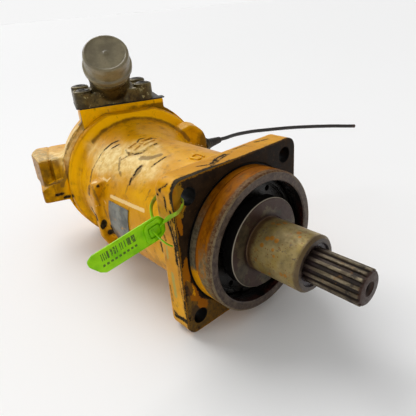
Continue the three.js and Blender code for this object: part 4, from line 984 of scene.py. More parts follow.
# pale strokes: worn pale paint, and painted highlights along edges and the parting line
PALE_WEAR_AND_HIGHLIGHT = [
    ([[-135.4,-66.1,25.7],[-125.9,-66.1,26.0],[-116.8,-66.0,26.2],[-108.9,-65.9,26.5],[-101.1,-65.8,26.7],[-93.6,-65.7,26.9],[-86.6,-65.6,27.2],[-79.7,-65.5,27.4],[-72.9,-65.4,27.6]], 1.9),
    ([[-281.3,-89.1,1.8],[-276.7,-84.1,4.2],[-274.9,-78.2,5.6],[-274.8,-71.6,6.4],[-270.8,-67.8,8.8],[-265.1,-64.5,11.9],[-260.3,-61.1,14.7]], 0.7),
    ([[-144.9,-30.1,66.8],[-138.2,-32.4,64.6],[-128.5,-31.0,63.8],[-121.1,-26.5,65.9]], 0.8),
    ([[-68.1,-1.4,71.0],[-58.4,-3.7,70.9],[-46.9,-4.4,70.8]], 0.5),
    ([[-57.7,-11.3,70.1],[-47.7,-11.7,70.0]], 0.7),
    ([[-163.8,33.2,69.9],[-156.4,37.8,65.5],[-153.5,42.9,61.9],[-152.7,49.6,57.4],[-156.7,60.2,51.4],[-158.0,69.0,46.3],[-155.6,75.3,43.4],[-153.1,81.5,40.6],[-151.1,86.5,38.3]], 0.35),
    ([[-148.1,16.9,69.2]], 0.7),
    ([[-130.5,8.5,70.8]], 0.7),
    ([[-165.7,-71.0,35.2],[-160.7,-68.3,36.8]], 1.4),
    ([[-160.3,-59.2,38.8],[-150.3,-60.0,37.9],[-146.7,-57.5,41.6]], 1.2),
    ([[-234.5,-56.3,-11.9],[-229.6,-56.7,-15.3],[-226.5,-56.4,-19.6],[-228.5,-53.1,-28.9]], 1.6),
    ([[-155.7,-76.6,11.5],[-154.0,-73.6,12.1]], 0.6),
    ([[-149.2,-68.7,18.0],[-144.5,-69.4,14.7]], 0.7),
    ([[-138.6,-70.6,7.0],[-135.5,-70.9,1.9]], 0.7),
]

CH2 = [[[[0.0,-73.1,78.1],[-1.8,-76.6,76.2],[-2.9,-79.1,72.3],[-3.2,-80.0,67.2],[-2.8,-80.0,61.9],[-0.8,-80.0,57.9]],1.0],[[[-0.0,-67.8,78.5],[0.0,-73.1,78.1]],1.3],[[[0.0,-67.2,78.8],[0.0,-59.7,78.9],[0.0,-52.1,78.7],[0.0,-44.1,78.8]],0.9],[[[0.0,-44.1,78.8],[0.0,-36.0,79.4],[-0.7,-29.4,80.0]],0.6],[[[-4.3,-32.0,80.0],[-6.3,-25.9,80.0],[-8.5,-19.6,80.0],[-12.7,-8.0,80.0],[-13.8,-0.4,80.0]],0.8],[[[0.0,-32.4,79.7],[-0.2,-27.5,80.0],[-0.9,-21.9,80.0],[-1.2,-16.7,80.0],[-1.5,-11.4,80.0]],0.8],[[[-6.9,-80.0,43.6],[-5.8,-80.0,40.2],[-4.8,-80.0,36.6],[-3.7,-80.0,33.1],[-2.6,-80.0,29.6]],0.8],[[[-2.6,-80.0,29.6],[-2.6,-80.0,25.6],[-2.6,-80.0,21.6],[-2.6,-80.0,17.5],[-2.9,-80.0,13.3],[-3.2,-80.0,9.0],[-3.5,-80.0,4.7]],0.6],[[[-3.5,-80.0,4.7],[-3.8,-80.0,-0.1],[-4.2,-80.0,-4.9],[-4.5,-80.0,-9.7],[-4.5,-80.0,-15.2],[-4.5,-80.0,-20.8],[-4.4,-80.0,-26.4]],0.45],[[[-4.4,-80.0,-26.4],[-3.7,-80.0,-31.0],[-3.0,-80.0,-35.6],[-2.3,-80.0,-40.2],[-2.1,-80.0,-45.2],[-2.0,-80.0,-50.3],[-1.8,-80.0,-55.4]],0.5],[[[-20.9,-80.0,-59.0],[-16.6,-80.0,-61.5],[-12.3,-80.0,-64.0],[-6.2,-80.0,-64.1],[-0.2,-80.0,-64.2]],1.0]]
DIRT = [[[[-148.2,-30.9,66.4],[-141.0,-33.4,63.8],[-130.0,-31.3,63.7],[-126.2,-28.4,65.1],[-122.7,-25.3,66.3]],1.0],[[[-117.8,-31.7,63.5],[-111.5,-30.0,64.3],[-105.4,-28.3,65.1],[-101.2,-24.6,66.6],[-97.3,-20.7,67.9]],3.0],[[[-149.7,-39.3,59.1],[-145.1,-43.1,56.4],[-141.2,-46.5,53.6],[-137.6,-49.6,50.7],[-128.9,-53.2,47.0]],1.2],[[[-107.7,-51.1,49.2],[-105.6,-45.3,54.6],[-106.4,-40.3,58.4]],2.6],[[[-195.9,-54.1,38.5],[-194.7,-56.6,34.5],[-194.0,-58.7,30.2],[-194.2,-60.6,25.6]],1.8],[[[-166.0,-74.4,32.2],[-163.6,-77.0,28.4],[-166.6,-77.2,22.3]],1.8],[[[-191.3,27.9,79.1],[-189.8,33.0,78.1],[-189.2,38.7,76.9],[-189.6,45.2,75.3],[-187.8,50.8,72.8],[-187.5,57.5,69.7],[-188.8,65.5,66.1],[-181.1,65.5,63.7],[-167.0,60.6,63.5],[-161.1,61.8,60.7],[-159.9,64.7,55.5],[-158.6,67.7,50.3]],2.2],[[[-215.6,-7.1,76.9],[-210.9,-2.4,78.4],[-207.1,2.8,79.6],[-203.6,6.6,80.1],[-200.7,10.7,80.4],[-198.4,15.2,80.5],[-195.4,19.1,80.2],[-192.9,23.4,79.7],[-191.2,28.2,79.0]],1.6],[[[-265.4,-63.0,22.3],[-264.1,-62.0,27.9],[-264.1,-60.6,33.1],[-266.0,-58.4,37.5],[-265.2,-56.3,42.6],[-264.4,-54.3,47.7],[-265.7,-51.5,52.1],[-262.3,-49.0,57.5],[-260.9,-45.7,62.2],[-259.5,-42.3,66.0],[-258.1,-38.8,69.8],[-256.7,-35.3,73.5],[-255.1,-31.2,76.7],[-253.4,-27.1,79.9],[-251.7,-23.0,83.1],[-249.9,-18.4,84.5],[-248.0,-13.8,85.9],[-246.2,-9.2,87.3]],0.7],[[[-244.6,-5.2,89.9],[-242.6,-0.4,89.9],[-237.0,2.4,90.7],[-230.0,4.4,91.9],[-226.1,8.1,92.4],[-223.3,12.4,92.6],[-220.9,16.9,92.7],[-218.8,21.6,92.7],[-216.8,26.4,92.7],[-215.1,31.4,92.6],[-213.5,36.5,92.5],[-212.2,41.8,92.2],[-212.1,48.0,91.6],[-218.7,58.8,89.3],[-216.2,64.9,86.9],[-213.7,71.1,84.6]],2.4],[[[-262.2,-70.0,5.5],[-260.8,-66.3,11.8],[-260.7,-62.2,17.5],[-260.3,-61.1,22.9],[-265.8,-57.7,26.2]],2.0],[[[-153.8,-72.5,11.8],[-153.9,-73.5,18.4],[-153.4,-74.9,25.2],[-154.8,-75.6,30.0],[-161.1,-74.0,32.6]],1.0],[[[-143.5,-70.9,-2.1],[-145.9,-70.8,4.1],[-149.3,-70.3,9.8]],1.0],[[[-73.4,-54.1,45.9],[-73.1,-57.4,41.8],[-73.4,-60.4,37.3]],0.6],[[[-110.4,-56.9,42.5],[-109.8,-59.9,38.0],[-109.8,-62.7,33.2]],0.6],[[[-293.8,-84.2,16.6],[-280.3,-86.4,13.5],[-277.0,-85.4,6.9],[-272.5,-80.5,8.3],[-267.9,-75.7,9.8],[-263.4,-70.9,11.2]],1.6],[[[-308.7,-81.6,35.4],[-300.4,-83.1,31.9],[-292.2,-84.5,28.5],[-284.2,-85.9,25.2]],1.2]]
OLIVE = [[[[-14.8,-80.0,-13.5],[-14.7,-80.0,-19.0],[-14.6,-80.0,-24.7],[-14.4,-80.0,-29.2],[-14.2,-80.0,-33.7],[-14.0,-80.0,-38.3]],2.2],[[[-18.4,-80.0,14.2],[-18.5,-80.0,8.3],[-18.5,-80.0,2.4]],1.4],[[[-58.6,-65.0,28.4],[-53.9,-66.8,24.1]],0.9]]
RUSTY = [[[[0.0,-74.6,52.3],[0.0,-74.6,48.1],[0.0,-74.6,43.8],[0.0,-75.5,40.3],[0.0,-76.3,36.8],[-0.0,-77.2,33.2]],2.0],[[[0.0,-79.8,1.9],[0.0,-77.3,-5.8],[0.0,-76.5,-10.9],[-0.0,-75.6,-16.2],[-0.0,-74.7,-21.5]],2.4],[[[0.0,-72.3,-3.0],[-0.9,-70.6,-9.2],[-0.9,-69.5,-14.7],[-0.9,-66.9,-22.9]],1.2],[[[-0.0,-70.0,-32.1],[0.0,-66.1,-41.4]],2.5],[[[-0.5,-65.3,-71.4],[-0.3,-60.2,-70.9],[0.0,-55.0,-70.2]],3.0],[[[0.0,-44.7,-76.8],[-0.0,-40.0,-76.7],[0.0,-35.3,-76.7],[0.0,-30.5,-76.6]],2.5],[[[-4.9,-80.0,-38.2],[-4.7,-80.0,-43.3],[-4.4,-80.0,-48.5],[-4.1,-80.0,-53.7],[-3.8,-80.0,-59.0]],2.0],[[[0.0,-75.3,73.6],[0.0,-75.6,69.2],[0.0,-75.8,64.8],[0.0,-76.1,60.3]],2.2]]
CHIPS = [[q, r * 1.5] for q, r in CHIPS] + CH2

hs = housing()
co = coords(hs)
rad = np.hypot(co[:, 1], co[:, 2])


def falloff(p, c, r):
    d = (p - np.array(c)) / np.array(r)
    return np.exp(-(d * d).sum(1))


def ring_axis(c):
    """Radius from the tilted axis."""
    x, y = c[:, 0] - PIVOT_X, c[:, 1]
    s = x * SB + y * CB
    return np.hypot(s, c[:, 2])


edge = np.where(co[:, 0] < 0.5, np.hypot(np.maximum(0, 80 - np.maximum(abs(co[:, 1]), abs(co[:, 2]))), np.minimum(0, co[:, 0])) - 0.5, 60)
corner = np.hypot(80 - abs(co[:, 1]), 80 - abs(co[:, 2]))
edge = edge - 1.6 * np.exp(-(corner / 16) ** 2) - 1.8 * np.exp(-(corner / 20) ** 2) * (co[:, 1] < 0) * (co[:, 2] > 0)
edge = edge - 4.6 * np.exp(-((co[:, 1] + 48) / 26) ** 2) * (co[:, 2] > 74) - 0.9 * np.exp(-((co[:, 2] - 10) / 60) ** 2) * (co[:, 1] < -74)
chip = np.minimum(strokes(co, CHIPS), edge)
attribute(hs, "chip", chip)
attribute(hs, "pale_wear_and_highlight", strokes(co, PALE_WEAR_AND_HIGHLIGHT))
attribute(hs, "smear", strokes(co, DIRT))
attribute(hs, "olive", strokes(co, OLIVE))
attribute(hs, "rusty", strokes(co, RUSTY))
# where the cream dust and painted sheen lie on the housing
attribute(hs, "dust_and_sheen", np.minimum(1, 0.9 * falloff(co, (-104, -40, 60), (34, 22, 22)) + 0.95 * falloff(co, (-158, -42, 57), (28, 24, 20)) + 0.95 * falloff(co, (-186, -44, 52), (20, 18, 20)) + 0.75 * falloff(co, (-224, -34, 55), (16, 12, 16)) + 0.55 * falloff(co, (-125, -12, 70), (24, 16, 10))))
w_ = tilt_w(co)
r_ = ring_axis(co)
# dark brown in the crease between the ring and the bell, stronger on the right, and behind the top of the flange:
# painted shade in the creases with soot; also soot on the ear by the sensor
fillet = np.exp(-((r_ - 81.5) / 3.0) ** 2) * (w_ > 48) * (w_ < 64)
attribute(hs, "soot_and_shade", 0.75 * fillet * (0.35 + 0.65 * (co[:, 1] > -30)) + 0.7 * falloff(co, (-30, 0, 74), (8, 50, 10)) + 1.2 * falloff(co, (-165, 90, 44), (44, 15, 22)))
# index 4 gives the recess walls their near-black finish and index 6 the near-black hole material: painted shade in the
# recess, the undercut and the bolt holes
idx = by_face(hs, [
    (2, lambda c, n: (c[:, 0] > 0.05) & (np.hypot(c[:, 1], c[:, 2]) > 65)),
    (6, lambda c, n: (c[:, 0] > -1.3) & (c[:, 0] < -0.04) & (np.hypot(c[:, 1], c[:, 2]) < 73.4) & (np.hypot(c[:, 1], c[:, 2]) > 68.9)),
    (6, lambda c, n: (c[:, 0] > -1.2) & (c[:, 0] < 0.06) & (np.hypot(c[:, 1], c[:, 2]) < 73.2) & (np.hypot(c[:, 1], c[:, 2]) > 69.1) & (n[:, 0] < 0.9)),
    (3, lambda c, n: (c[:, 0] > 27) & (np.hypot(c[:, 1], c[:, 2]) < 68.6)),
    (4, lambda c, n: (c[:, 0] > -6.5) & (np.hypot(c[:, 1], c[:, 2]) < 61.8) & (c[:, 0] < 27.4)),
    (5, lambda c, n: (c[:, 0] < -6.4) & (c[:, 0] > -170) & (np.hypot(c[:, 1], c[:, 2]) < 60.4)),
    (5, lambda c, n: (ring_axis(c) < 60.4) & (tilt_w(c) > -30) & (c[:, 0] < -100)),
    (5, lambda c, n: abs(tilt_w(c) - 78) < 0.05),
    (6, lambda c, n: (np.hypot(abs(c[:, 1]) - 63.64, abs(c[:, 2]) - 63.64) < 8.7) & (c[:, 0] > -24.8) & (c[:, 0] < -0.01)),
    (1, lambda c, n: (n[:, 0] > 0.9) & (abs(c[:, 0]) < 0.02)),
])
put(hs, "housing_casting", "housing", [M_PAINT, M_FACE, M_PILOT, M_FRONT, M_RECESS, M_BORE, M_HOLE_SHADE], ["main_housing"], index=idx)

hd = moved(head(), TILT)
co = coords(hd)
attribute(hd, "chip", strokes(co, CHIPS))
attribute(hd, "pale_wear_and_highlight", strokes(co, PALE_WEAR_AND_HIGHLIGHT))
attribute(hd, "smear", strokes(co, DIRT))
attribute(hd, "olive", np.full(len(co), 60.0))
# where the cream dust and painted sheen lie on the rear head
attribute(hd, "dust_and_sheen", np.minimum(1, 1.6 * falloff(co, (-260, -44, 54), (26, 24, 30)) + 0.78 * falloff(co, (-300, -85, 42), (60, 50, 5))))
w_ = tilt_w(co)
# dark brown under the lug, on a patch at the left of the head and on the pad front below the adapter: soot, and painted
# shade underneath and at the joints
attribute(hd, "soot_and_shade", 0.8 * falloff(co, (-230, -130, -18), (60, 60, 5)) + 0.75 * falloff(co, (-276, -79, 24), (12, 14, 13)) + 0.95 * (w_ < 88) * (co[:, 2] > 78) * (co[:, 2] < 95))
wt = lambda c: tilt_w(c)
idx = by_face(hd, [
    (1, lambda c, n: (ring_axis(c) < 54.2) & (wt(c) < 119.5) & (wt(c) > 78.4)),
    (2, lambda c, n: (abs(c[:, 2] - 97.5) < 0.05)),
])
put(hd, "rear_head_casting", "housing", [M_PAINT, M_BORE, M_CASTRAW], ["rear_head"], index=idx)

# ------------------------------------------------------------------ head bolts, plug
for i, a in enumerate(HEAD_BOLTS):
    g = moved(shift(cap_screw(9, 11, 5, 27), -96.3, 84 * math.cos(a), 84 * math.sin(a)), TILT)
    put(g, f"head_bolt_{i + 1}_screw", "housing", [M_BOLT], [f"head_bolt_{i + 1}"])
plug = lathe([(-132, 0), (-132, 12, 0.6), (-135, 14.6, 0.6), (-146.4, 14.6), (-146.4, 20, 0.4), (-149.5, 20, 1.0), (-149.5, 9, 0.8), (-138, 8, 0.6), (-138, 0)], 72)
put(moved(shift(plug, 0, 0, -34), TILT), "rear_port_plug_cap", "housing", [M_CAP], ["rear_port_plug"])

# ------------------------------------------------------------------ adapter, bolts, gasket, cap (about the port centre, in the tilted frame)
PORT = Matrix.Translation((-111, -14, 0))
LEAN = Matrix.Translation((0, 0, 110)) @ Matrix.Rotation(math.radians(-6), 4, "Z") @ Matrix.Rotation(math.radians(45), 4, "Y") @ ROT_Z_UP
z0, z1, zb = 99.0, 115.0, 119.5
out = rounded([(31, -38, 6), (31, -18, 4), (28, -11, 4), (28, 11, 4), (31, 18, 4), (31, 38, 6), (27, 46, 5), (19, 50, 5), (-19, 50, 5), (-27, 46, 5), (-31, 38, 6), (-31, -38, 6), (-27, -46, 5), (-19, -50, 5), (19, -50, 5), (27, -46, 5), (31, -38, 6)], 5)[:-1]
ad = prism(out, z0 - 3, z1, "z", 1.2)
ad = union(ad, moved(lathe([(z0 - 3, 0), (z0 - 3, 30), (117, 30, 4), (121, 25, 4), (121, 0)], 80), ROT_Z_UP))
ad = union(ad, moved(lathe([(-4, 0), (-4, 26), (36, 26, 2), (38, 27.2, 0.5), (43, 27.2, 0.5), (45, 24.4, 1), (60, 24.4), (60, 0)], 96), LEAN))
for u, v in FOUR:
    ad = union(ad, shift(moved(lathe([(z0 - 3, 0), (z0 - 3, 11.8), (118, 11.8, 1.5), (zb, 10.8, 1), (zb, 0)], 48), ROT_Z_UP), u * 21.45, v * 38.9, 0))
ad = soften(ad, 1.1, 4)
ad = union(ad, moved(lathe([(50, 0), (50, 24.35), (69.4, 24.35, 0.8), (70, 23.6, 0.3), (70, 0)], 96), LEAN))
ad = minus(ad, box(-90, 90, -90, 90, z0 - 30, z0), moved(lathe([(z0 - 9, 0), (z0 - 9, 19.5), (112, 19.5), (118, 12), (118, 0)], 64), ROT_Z_UP), moved(lathe([(-2, 0), (-2, 19.5), (90, 19.5), (90, 0)], 64), LEAN))
for u, v in FOUR:
    ad = minus(ad, shift(moved(rod(z0 - 9, zb - 9, 6.6, 24), ROT_Z_UP), u * 21.45, v * 38.9, 0), shift(moved(rod(zb - 9.5, zb + 10, 9.8, 40), ROT_Z_UP), u * 21.45, v * 38.9, 0))
put(moved(ad, TILT @ PORT), "port_adapter_elbow", "housing", [M_ADAPTER], ["port_adapter"])
k = 0
for u, v in FOUR:
    k += 1
    g = moved(cap_screw(9, 10, 5.6, 30), Matrix.Rotation(math.pi / 2, 4, "Y"))
    g = shift(g, u * 21.45, v * 38.9, zb - 9.2)
    put(moved(g, TILT @ PORT), f"adapter_bolt_{k}_screw", "housing", [M_BOLT], [f"adapter_bolt_{k}"])
gk = prism(rounded([(-31, -51, 6), (31, -51, 6), (31, 65, 2), (17, 65, 2), (14, 52, 3), (-31, 52, 6), (-31, -51, 6)], 5)[:-1], 97.8, 98.7, "z")
gk = minus(gk, prism(circle(0, 0, 22, 64), 90, 110, "z"))
for u, v in FOUR:
    gk = minus(gk, prism(circle(u * 21.45, v * 38.9, 6.8, 24), 90, 110, "z"))
put(moved(gk, TILT @ PORT), "adapter_gasket_sheet", "housing", [M_RUBBER], ["adapter_gasket"])
capm = lathe([(49, 24.9), (49, 29.3, 0.6), (51, 30.1, 1.2), (56, 30.1, 1.2), (57.6, 27.7, 1.2), (68, 27.4), (69.2, 27.7, 0.6), (75.2, 26.9, 1.6), (76.3, 25.1, 1.0), (76.3, 24.0, 0.6), (75.5, 22.8, 0.8), (75.3, 6, 1), (75.3, 3.2), (75.9, 2.2, 0.4), (75.9, 0), (73.5, 0), (73.5, 24.9, 0.5), (49, 24.9)], 112)
put(moved(capm, TILT @ PORT @ LEAN), "port_cap_shell", "housing", [M_CAP], ["port_cap"])

# ------------------------------------------------------------------ seal carrier, seal, snap ring
car = lathe([(-4.4, 36.4), (-4.4, 60.0), (6.6, 60.0, 0.4), (8, 58.8, 0.4), (8, 54), (7.2, 53.4), (7.2, 42.4), (8, 41.8), (8, 37.2, 0.4), (7.4, 36.4), (-4.4, 36.4)], 144)
for a in (56, 236):
    car = minus(car, shift(rod(1, 12, 3, 32), 0, 50 * math.cos(math.radians(a)), 50 * math.sin(math.radians(a))))
put(car, "seal_carrier_ring", "housing", [M_CARRIER], ["seal_carrier"])
put(lathe([(-4, 36, 0.4), (8.0, 36, 0.6), (8.0, 30, 0.8), (5, 25.4, 0.3), (1, 25.7, 0.5), (-4, 29, 0.5), (-4, 36, 0.4)], 96), "shaft_seal_lip", "housing", [M_SEAL], ["shaft_seal"])
pts = [(59.3 * math.cos(math.radians(254 + 346 * i / 120)), 59.3 * math.sin(math.radians(254 + 346 * i / 120))) for i in range(121)]
pts += [(55.6 * math.cos(math.radians(254 + 346 * i / 120)), 55.6 * math.sin(math.radians(254 + 346 * i / 120))) for i in range(120, -1, -1)]
put(prism(pts, 8.5, 10.9, "x", 0.25, 2, True), "carrier_snap_ring_wire", "housing", [M_SNAP], ["carrier_snap_ring"])

# ------------------------------------------------------------------ shaft and sleeve
T, X0, X1 = 14, 82.7, 134.0
outline = []
for i in range(T):
    a, d = 2 * math.pi * i / T, 2 * math.pi / T
    for t, r in ((-0.34, 13.75), (-0.30, 13.85), (-0.25, 14.7), (-0.205, 15.6), (-0.175, 15.95), (-0.1, 16.0), (0, 16.0), (0.1, 16.0), (0.175, 15.95), (0.205, 15.6), (0.25, 14.7), (0.30, 13.85), (0.34, 13.75), (0.42, 13.7), (0.5, 13.7), (0.58, 13.7)):
        outline.append((r * math.cos(a + t * d), r * math.sin(a + t * d)))
spl = prism(outline, X0, X1, "x")
spl = boolean(spl, lathe([(60, 0), (60, 20), (131.6, 20), (131.6, 16.2), (133.7, 13.9, 0.5), (134, 13.2), (134, 0)], 96), "INTERSECT")
shaft = lathe([(-158, 0), (-158, 46), (-158, 47.3, 0.5), (-143, 47.5, 1), (-138, 40, 3), (-118, 33, 4), (-88.3, 33), (-88.3, 27.5), (-11.7, 27.5), (-11.7, 25), (16.7, 25), (16.7, 15.7), (81.4, 15.7), (82.2, 13.3), (83.6, 13.3), (83.6, 0)], 96)
shaft = union(shaft, spl)
shaft = minus(shaft, lathe([(120, 0), (122, 4), (131, 4), (133.5, 6.5), (136, 6.5), (136, 0)], 48))


def sphere(x, y, z, r):
    prof = [(x - r * math.cos(math.pi * i / 24), r * math.sin(math.pi * i / 24)) for i in range(25)]
    prof[0], prof[-1] = (x - r, 0), (x + r, 0)
    return shift(lathe(prof, 48), 0, y, z)


for i in range(7):
    a = math.pi / 2 + i * 2 * math.pi / 7
    shaft = minus(shaft, sphere(PIVOT_X, 35.28 * math.cos(a), 35.28 * math.sin(a), 10.6))
shaft = minus(shaft, sphere(PIVOT_X, 0, 0, 9.6))
idx = by_face(shaft, [(1, lambda c, n: c[:, 0] < 60)])
put(shaft, "output_shaft", "shaft", [M_SPLINE, M_TURNED], ["drive_shaft"], index=idx, angle=24)
slv = lathe([(17, 16.2), (17, 44.6), (17.4, 45, 0.2), (28.2, 45, 0.2), (29.3, 44, 0.3), (29.3, 28.2, 0.6), (28.7, 27.2, 0.4), (29.6, 26.5, 0.3), (82.3, 26.5, 0.8), (84.8, 24, 0.6), (84.8, 20.4, 0.3), (82.5, 19.4, 0.4), (82.5, 16.3, 0.2), (17, 16.2)], 144)
idx = by_face(slv, [(1, lambda c, n: (c[:, 0] < 29.31) & (np.hypot(c[:, 1], c[:, 2]) > 27)), (2, lambda c, n: (c[:, 0] > 80) & (np.hypot(c[:, 1], c[:, 2]) < 24.2)), (3, lambda c, n: (c[:, 0] > 80) & (np.hypot(c[:, 1], c[:, 2]) < 20.35))])
M_SLEEVE_END = metal("sleeve_end_steel", srgb(48, 36, 28), srgb(88, 74, 60), 0.3, 0.32, 0.5, 0.2, srgb(46, 22, 24), 0.5)
M_SLEEVE_RECESS = metal("sleeve_recess_grease", srgb(22, 12, 14), srgb(52, 32, 38), 0.1, 0.2, 0.4, 0.3)
put(slv, "flanged_sleeve_hub", "shaft", [M_SLEEVE, M_DISC, M_SLEEVE_END, M_SLEEVE_RECESS], ["flanged_sleeve"], index=idx)

# ------------------------------------------------------------------ sensor, gland
sx, sz = -160, 36
hexr = [(10.9 * math.cos(math.pi / 3 * i), 10.9 * math.sin(math.pi / 3 * i)) for i in range(6)]
nut = boolean(prism(hexr, 91.9, 97.5, "x"), lathe([(91.9, 0), (91.9, 9.8), (92.9, 11), (96.5, 11), (97.5, 9.8), (97.5, 0)], 72), "INTERSECT")
sen = union(lathe([(48, 0), (48, 6, 0.6), (56, 7, 0.5), (97, 6.98), (97, 0)], 48), nut, lathe([(96.9, 0), (96.9, 8, 0.4), (99.5, 8, 0.5), (100.5, 7, 0.4), (100.5, 0)], 56))
put(shift(moved(sen, ROT_Y), sx, 0, sz), "speed_sensor_probe", "housing", [M_BOLT], ["speed_sensor"])
prof = [(100.8, 0), (100.8, 6.5, 0.6), (104.5, 6.5, 0.5)]
for i in range(7):
    xa = 105.6 + i * 2.5
    ra = 6.2 - 2.3 * (xa - 104.5) / 20
    prof += [(xa, ra - 0.55), (xa + 0.6, ra), (xa + 1.9, ra - 0.1)]
prof += [(123.6, 3.8, 0.3), (124.5, 3.3, 0.3), (124.5, 0)]
put(shift(moved(lathe(prof, 48), ROT_Y), sx, 0, sz), "cable_gland_relief", "housing", [M_CABLE], ["cable_gland"])

# ------------------------------------------------------------------ name plate
a0, a1, n = math.radians(163), math.radians(206), 40
pp = [(72.25 * math.cos(a0 + (a1 - a0) * i / n), 72.25 * math.sin(a0 + (a1 - a0) * i / n)) for i in range(n + 1)]
pp += [(71.4 * math.cos(a0 + (a1 - a0) * i / n), 71.4 * math.sin(a0 + (a1 - a0) * i / n)) for i in range(n, -1, -1)]
npl = prism(pp, -137, -98, "x", 0.2, 2)
put(npl, "name_plate_blank", "housing", [M_PLATE], ["name_plate"], angle=50)

# ------------------------------------------------------------------ seal tag and strap
TX = -12
flag = rounded([(-83, 35, 3), (-83, 46, 3), (-88, 51.5, 5), (-96, 51.5, 4), (-152, 43, 3), (-157, 39, 3), (-156, 34, 3), (-148, 25.5, 4), (-143, 23, 4), (-90, 29.5, 5), (-83, 35, 3)], 6)[:-1]
tag = prism(flag, TX - 0.8, TX + 0.8, "x", 0.35, 2, True)
buckle = minus(prism(rrect(-104.5, -85.5, 31.5, 49.5, 5, 6), TX - 2.5, TX + 2.5, "x", 0.5, 2, True), prism(rrect(-101.3, -88.4, 34.6, 46.6, 3.4, 6), TX + 1.2, TX + 9, "x"),
               prism(rrect(-101.3, -88.4, 34.6, 46.6, 3.4, 6), TX - 9, TX - 1.2, "x"))
buckle = shift(moved(shift(buckle, 0, 95, -40.5), Matrix.Rotation(math.radians(10), 4, "X")), 0, -95, 40.5)
tag = union(tag, buckle)
hub = prism(rrect(-5.2, 5.2, -4.2, 4.2, 1.4, 4), TX - 2.3, TX + 2.3, "x", 0.5, 2, True)
tag = union(tag, shift(moved(hub, Matrix.Rotation(math.radians(10), 4, "X")), 0, -95, 40.5))
put(tag, "seal_tag_flag", "housing", [M_TAG], ["seal_tag"])


def ribbon(path, width, thick, roll, per=8, taper=None):
    """A flat strap along a smooth path. roll(t) turns its width about the path, in radians."""
    P = catmull(path, per)
    N = len(P)
    verts, faces = [], []
    up = np.array([0.0, 0.0, 1.0])
    sect = [(1, .35), (1, -.35), (.8, -1), (-.8, -1), (-1, -.35), (-1, .35), (-.8, 1), (.8, 1)]
    for i, p in enumerate(P):
        t = P[min(i + 1, N - 1)] - P[max(i - 1, 0)]
        t = t / np.linalg.norm(t)
        s = np.cross(t, up); s /= np.linalg.norm(s)
        u = np.cross(s, t)
        q = roll(i / (N - 1))
        e1 = s * math.cos(q) + u * math.sin(q)
        e2 = -s * math.sin(q) + u * math.cos(q)
        w = width / 2 * (taper(i / (N - 1)) if taper else 1)
        for a, b in sect:
            verts.append(p + e1 * a * w + e2 * b * thick / 2)
    m = len(sect)
    for i in range(N - 1):
        for j in range(m):
            faces.append((i * m + j, i * m + (j + 1) % m, (i + 1) * m + (j + 1) % m, (i + 1) * m + j))
    faces.append(tuple(range(m))); faces.append(tuple(range((N - 1) * m, N * m)))
    return mesh_from(verts, faces)


strap = ribbon([(TX + 1.5, -88.5, 42.5), (TX + 4.5, -84.8, 46), (-3.5, -82.3, 50.5), (3.0, -79.5, 55), (4.6, -75.5, 59), (1.6, -70.8, 62.6), (-12, -69.6, 64), (-25, -69.8, 63), (-32.5, -73.5, 58), (-32.5, -80.5, 51), (-24, -86.5, 45.5), (TX - 2.5, -90, 42)],
               3.2, 1.1, lambda t: 0.3 + 1.2 * math.sin(math.pi * t), 8, lambda t: 1.0 + 0.75 * math.exp(-((t - 0.12) / 0.10) ** 2))
tail = ribbon([(TX + 2.2, -97.5, 42), (TX + 5.5, -95.5, 37.5), (TX + 8.0, -92.5, 32), (TX + 9.5, -88.5, 27), (TX + 10, -84.5, 23.5)], 2.8, 1.1, lambda t: 0.8, 8, lambda t: 1 - 0.75 * t)
put(strap, "seal_strap_band", "housing", [M_TAG], ["seal_strap"], angle=50)
put(tail, "seal_strap_tail", "housing", [M_TAG], [], angle=50)

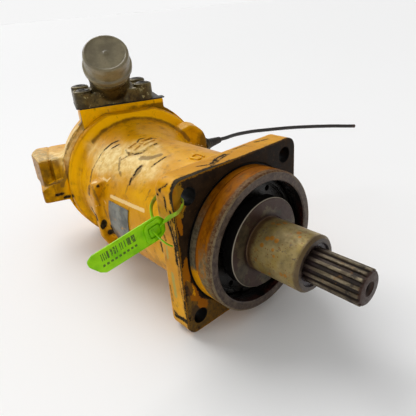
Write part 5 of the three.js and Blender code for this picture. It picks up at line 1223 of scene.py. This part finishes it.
# ------------------------------------------------------------------ inner CAD pieces keep their shape and take a finish
for node, mt in {"retaining_plate": M_TURNED, "front_bearing_outer": M_GROUND, "rear_bearing_outer": M_GROUND, "front_bearing_inner": M_GROUND, "rear_bearing_inner": M_GROUND,
                 "front_bearing_rollers": M_GROUND, "rear_bearing_rollers": M_GROUND, "bearing_spacer": M_TURNED, "cylinder_block": M_TURNED, "valve_plate": M_BRONZE,
                 "centre_pin": M_GROUND, "block_spring": M_BOLT, **{f"piston_{i}": M_GROUND for i in range(1, 8)}}.items():
    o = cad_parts[node]
    o.data.materials.clear()
    o.data.materials.append(mt)

# ------------------------------------------------------------------ floor and light
fm = bpy.data.meshes.new("floor")
fm.from_pydata([(-30, -30, 0), (30, -30, 0), (30, 30, 0), (-30, 30, 0)], [], [(0, 1, 2, 3)])
floor = bpy.data.objects.new("floor", fm)
scene.collection.objects.link(floor)
kf = Mat("floor_white")
kf.set(Base_Color=(0.92, 0.92, 0.92, 1), Roughness=0.8)
fm.materials.append(kf.m)
world = bpy.data.worlds.new("world"); scene.world = world
world.use_nodes = True
wt_ = world.node_tree
bg = wt_.nodes["Background"]
tc_ = wt_.nodes.new("ShaderNodeTexCoord"); sp_ = wt_.nodes.new("ShaderNodeSeparateXYZ"); mr_ = wt_.nodes.new("ShaderNodeMapRange")
wt_.links.new(tc_.outputs["Generated"], sp_.inputs[0]); wt_.links.new(sp_.outputs[2], mr_.inputs["Value"])
mr_.inputs["From Min"].default_value = 0.06; mr_.inputs["From Max"].default_value = 0.16
mr_.inputs["To Min"].default_value = 0.92; mr_.inputs["To Max"].default_value = 0.50
wt_.links.new(mr_.outputs[0], bg.inputs[1])
bg.inputs[0].default_value = (1, 1, 1, 1)


def area(name, direction, dist, size, power, target=(0.0, 0.0, 0.13), color=(1, 1, 1)):
    d = bpy.data.lights.new(name, "AREA")
    d.shape, d.size, d.size_y = "RECTANGLE", size[0], size[1]
    d.energy, d.color = power, color
    o = bpy.data.objects.new(name, d)
    v = Vector(direction).normalized()
    o.location = Vector(target) + v * dist
    o.rotation_euler = v.to_track_quat("Z", "Y").to_euler()
    scene.collection.objects.link(o)


sun = bpy.data.lights.new("key_light", "SUN")
sun.energy, sun.angle = 2.0, math.radians(45)
sun_ob = bpy.data.objects.new("key_light", sun)
sun_ob.rotation_euler = Vector((-0.70, 0.05, 0.72)).to_track_quat("Z", "Y").to_euler()
scene.collection.objects.link(sun_ob)
area("side_light", (-0.25, -0.9, 0.6), 1.8, (0.8, 0.8), 3)
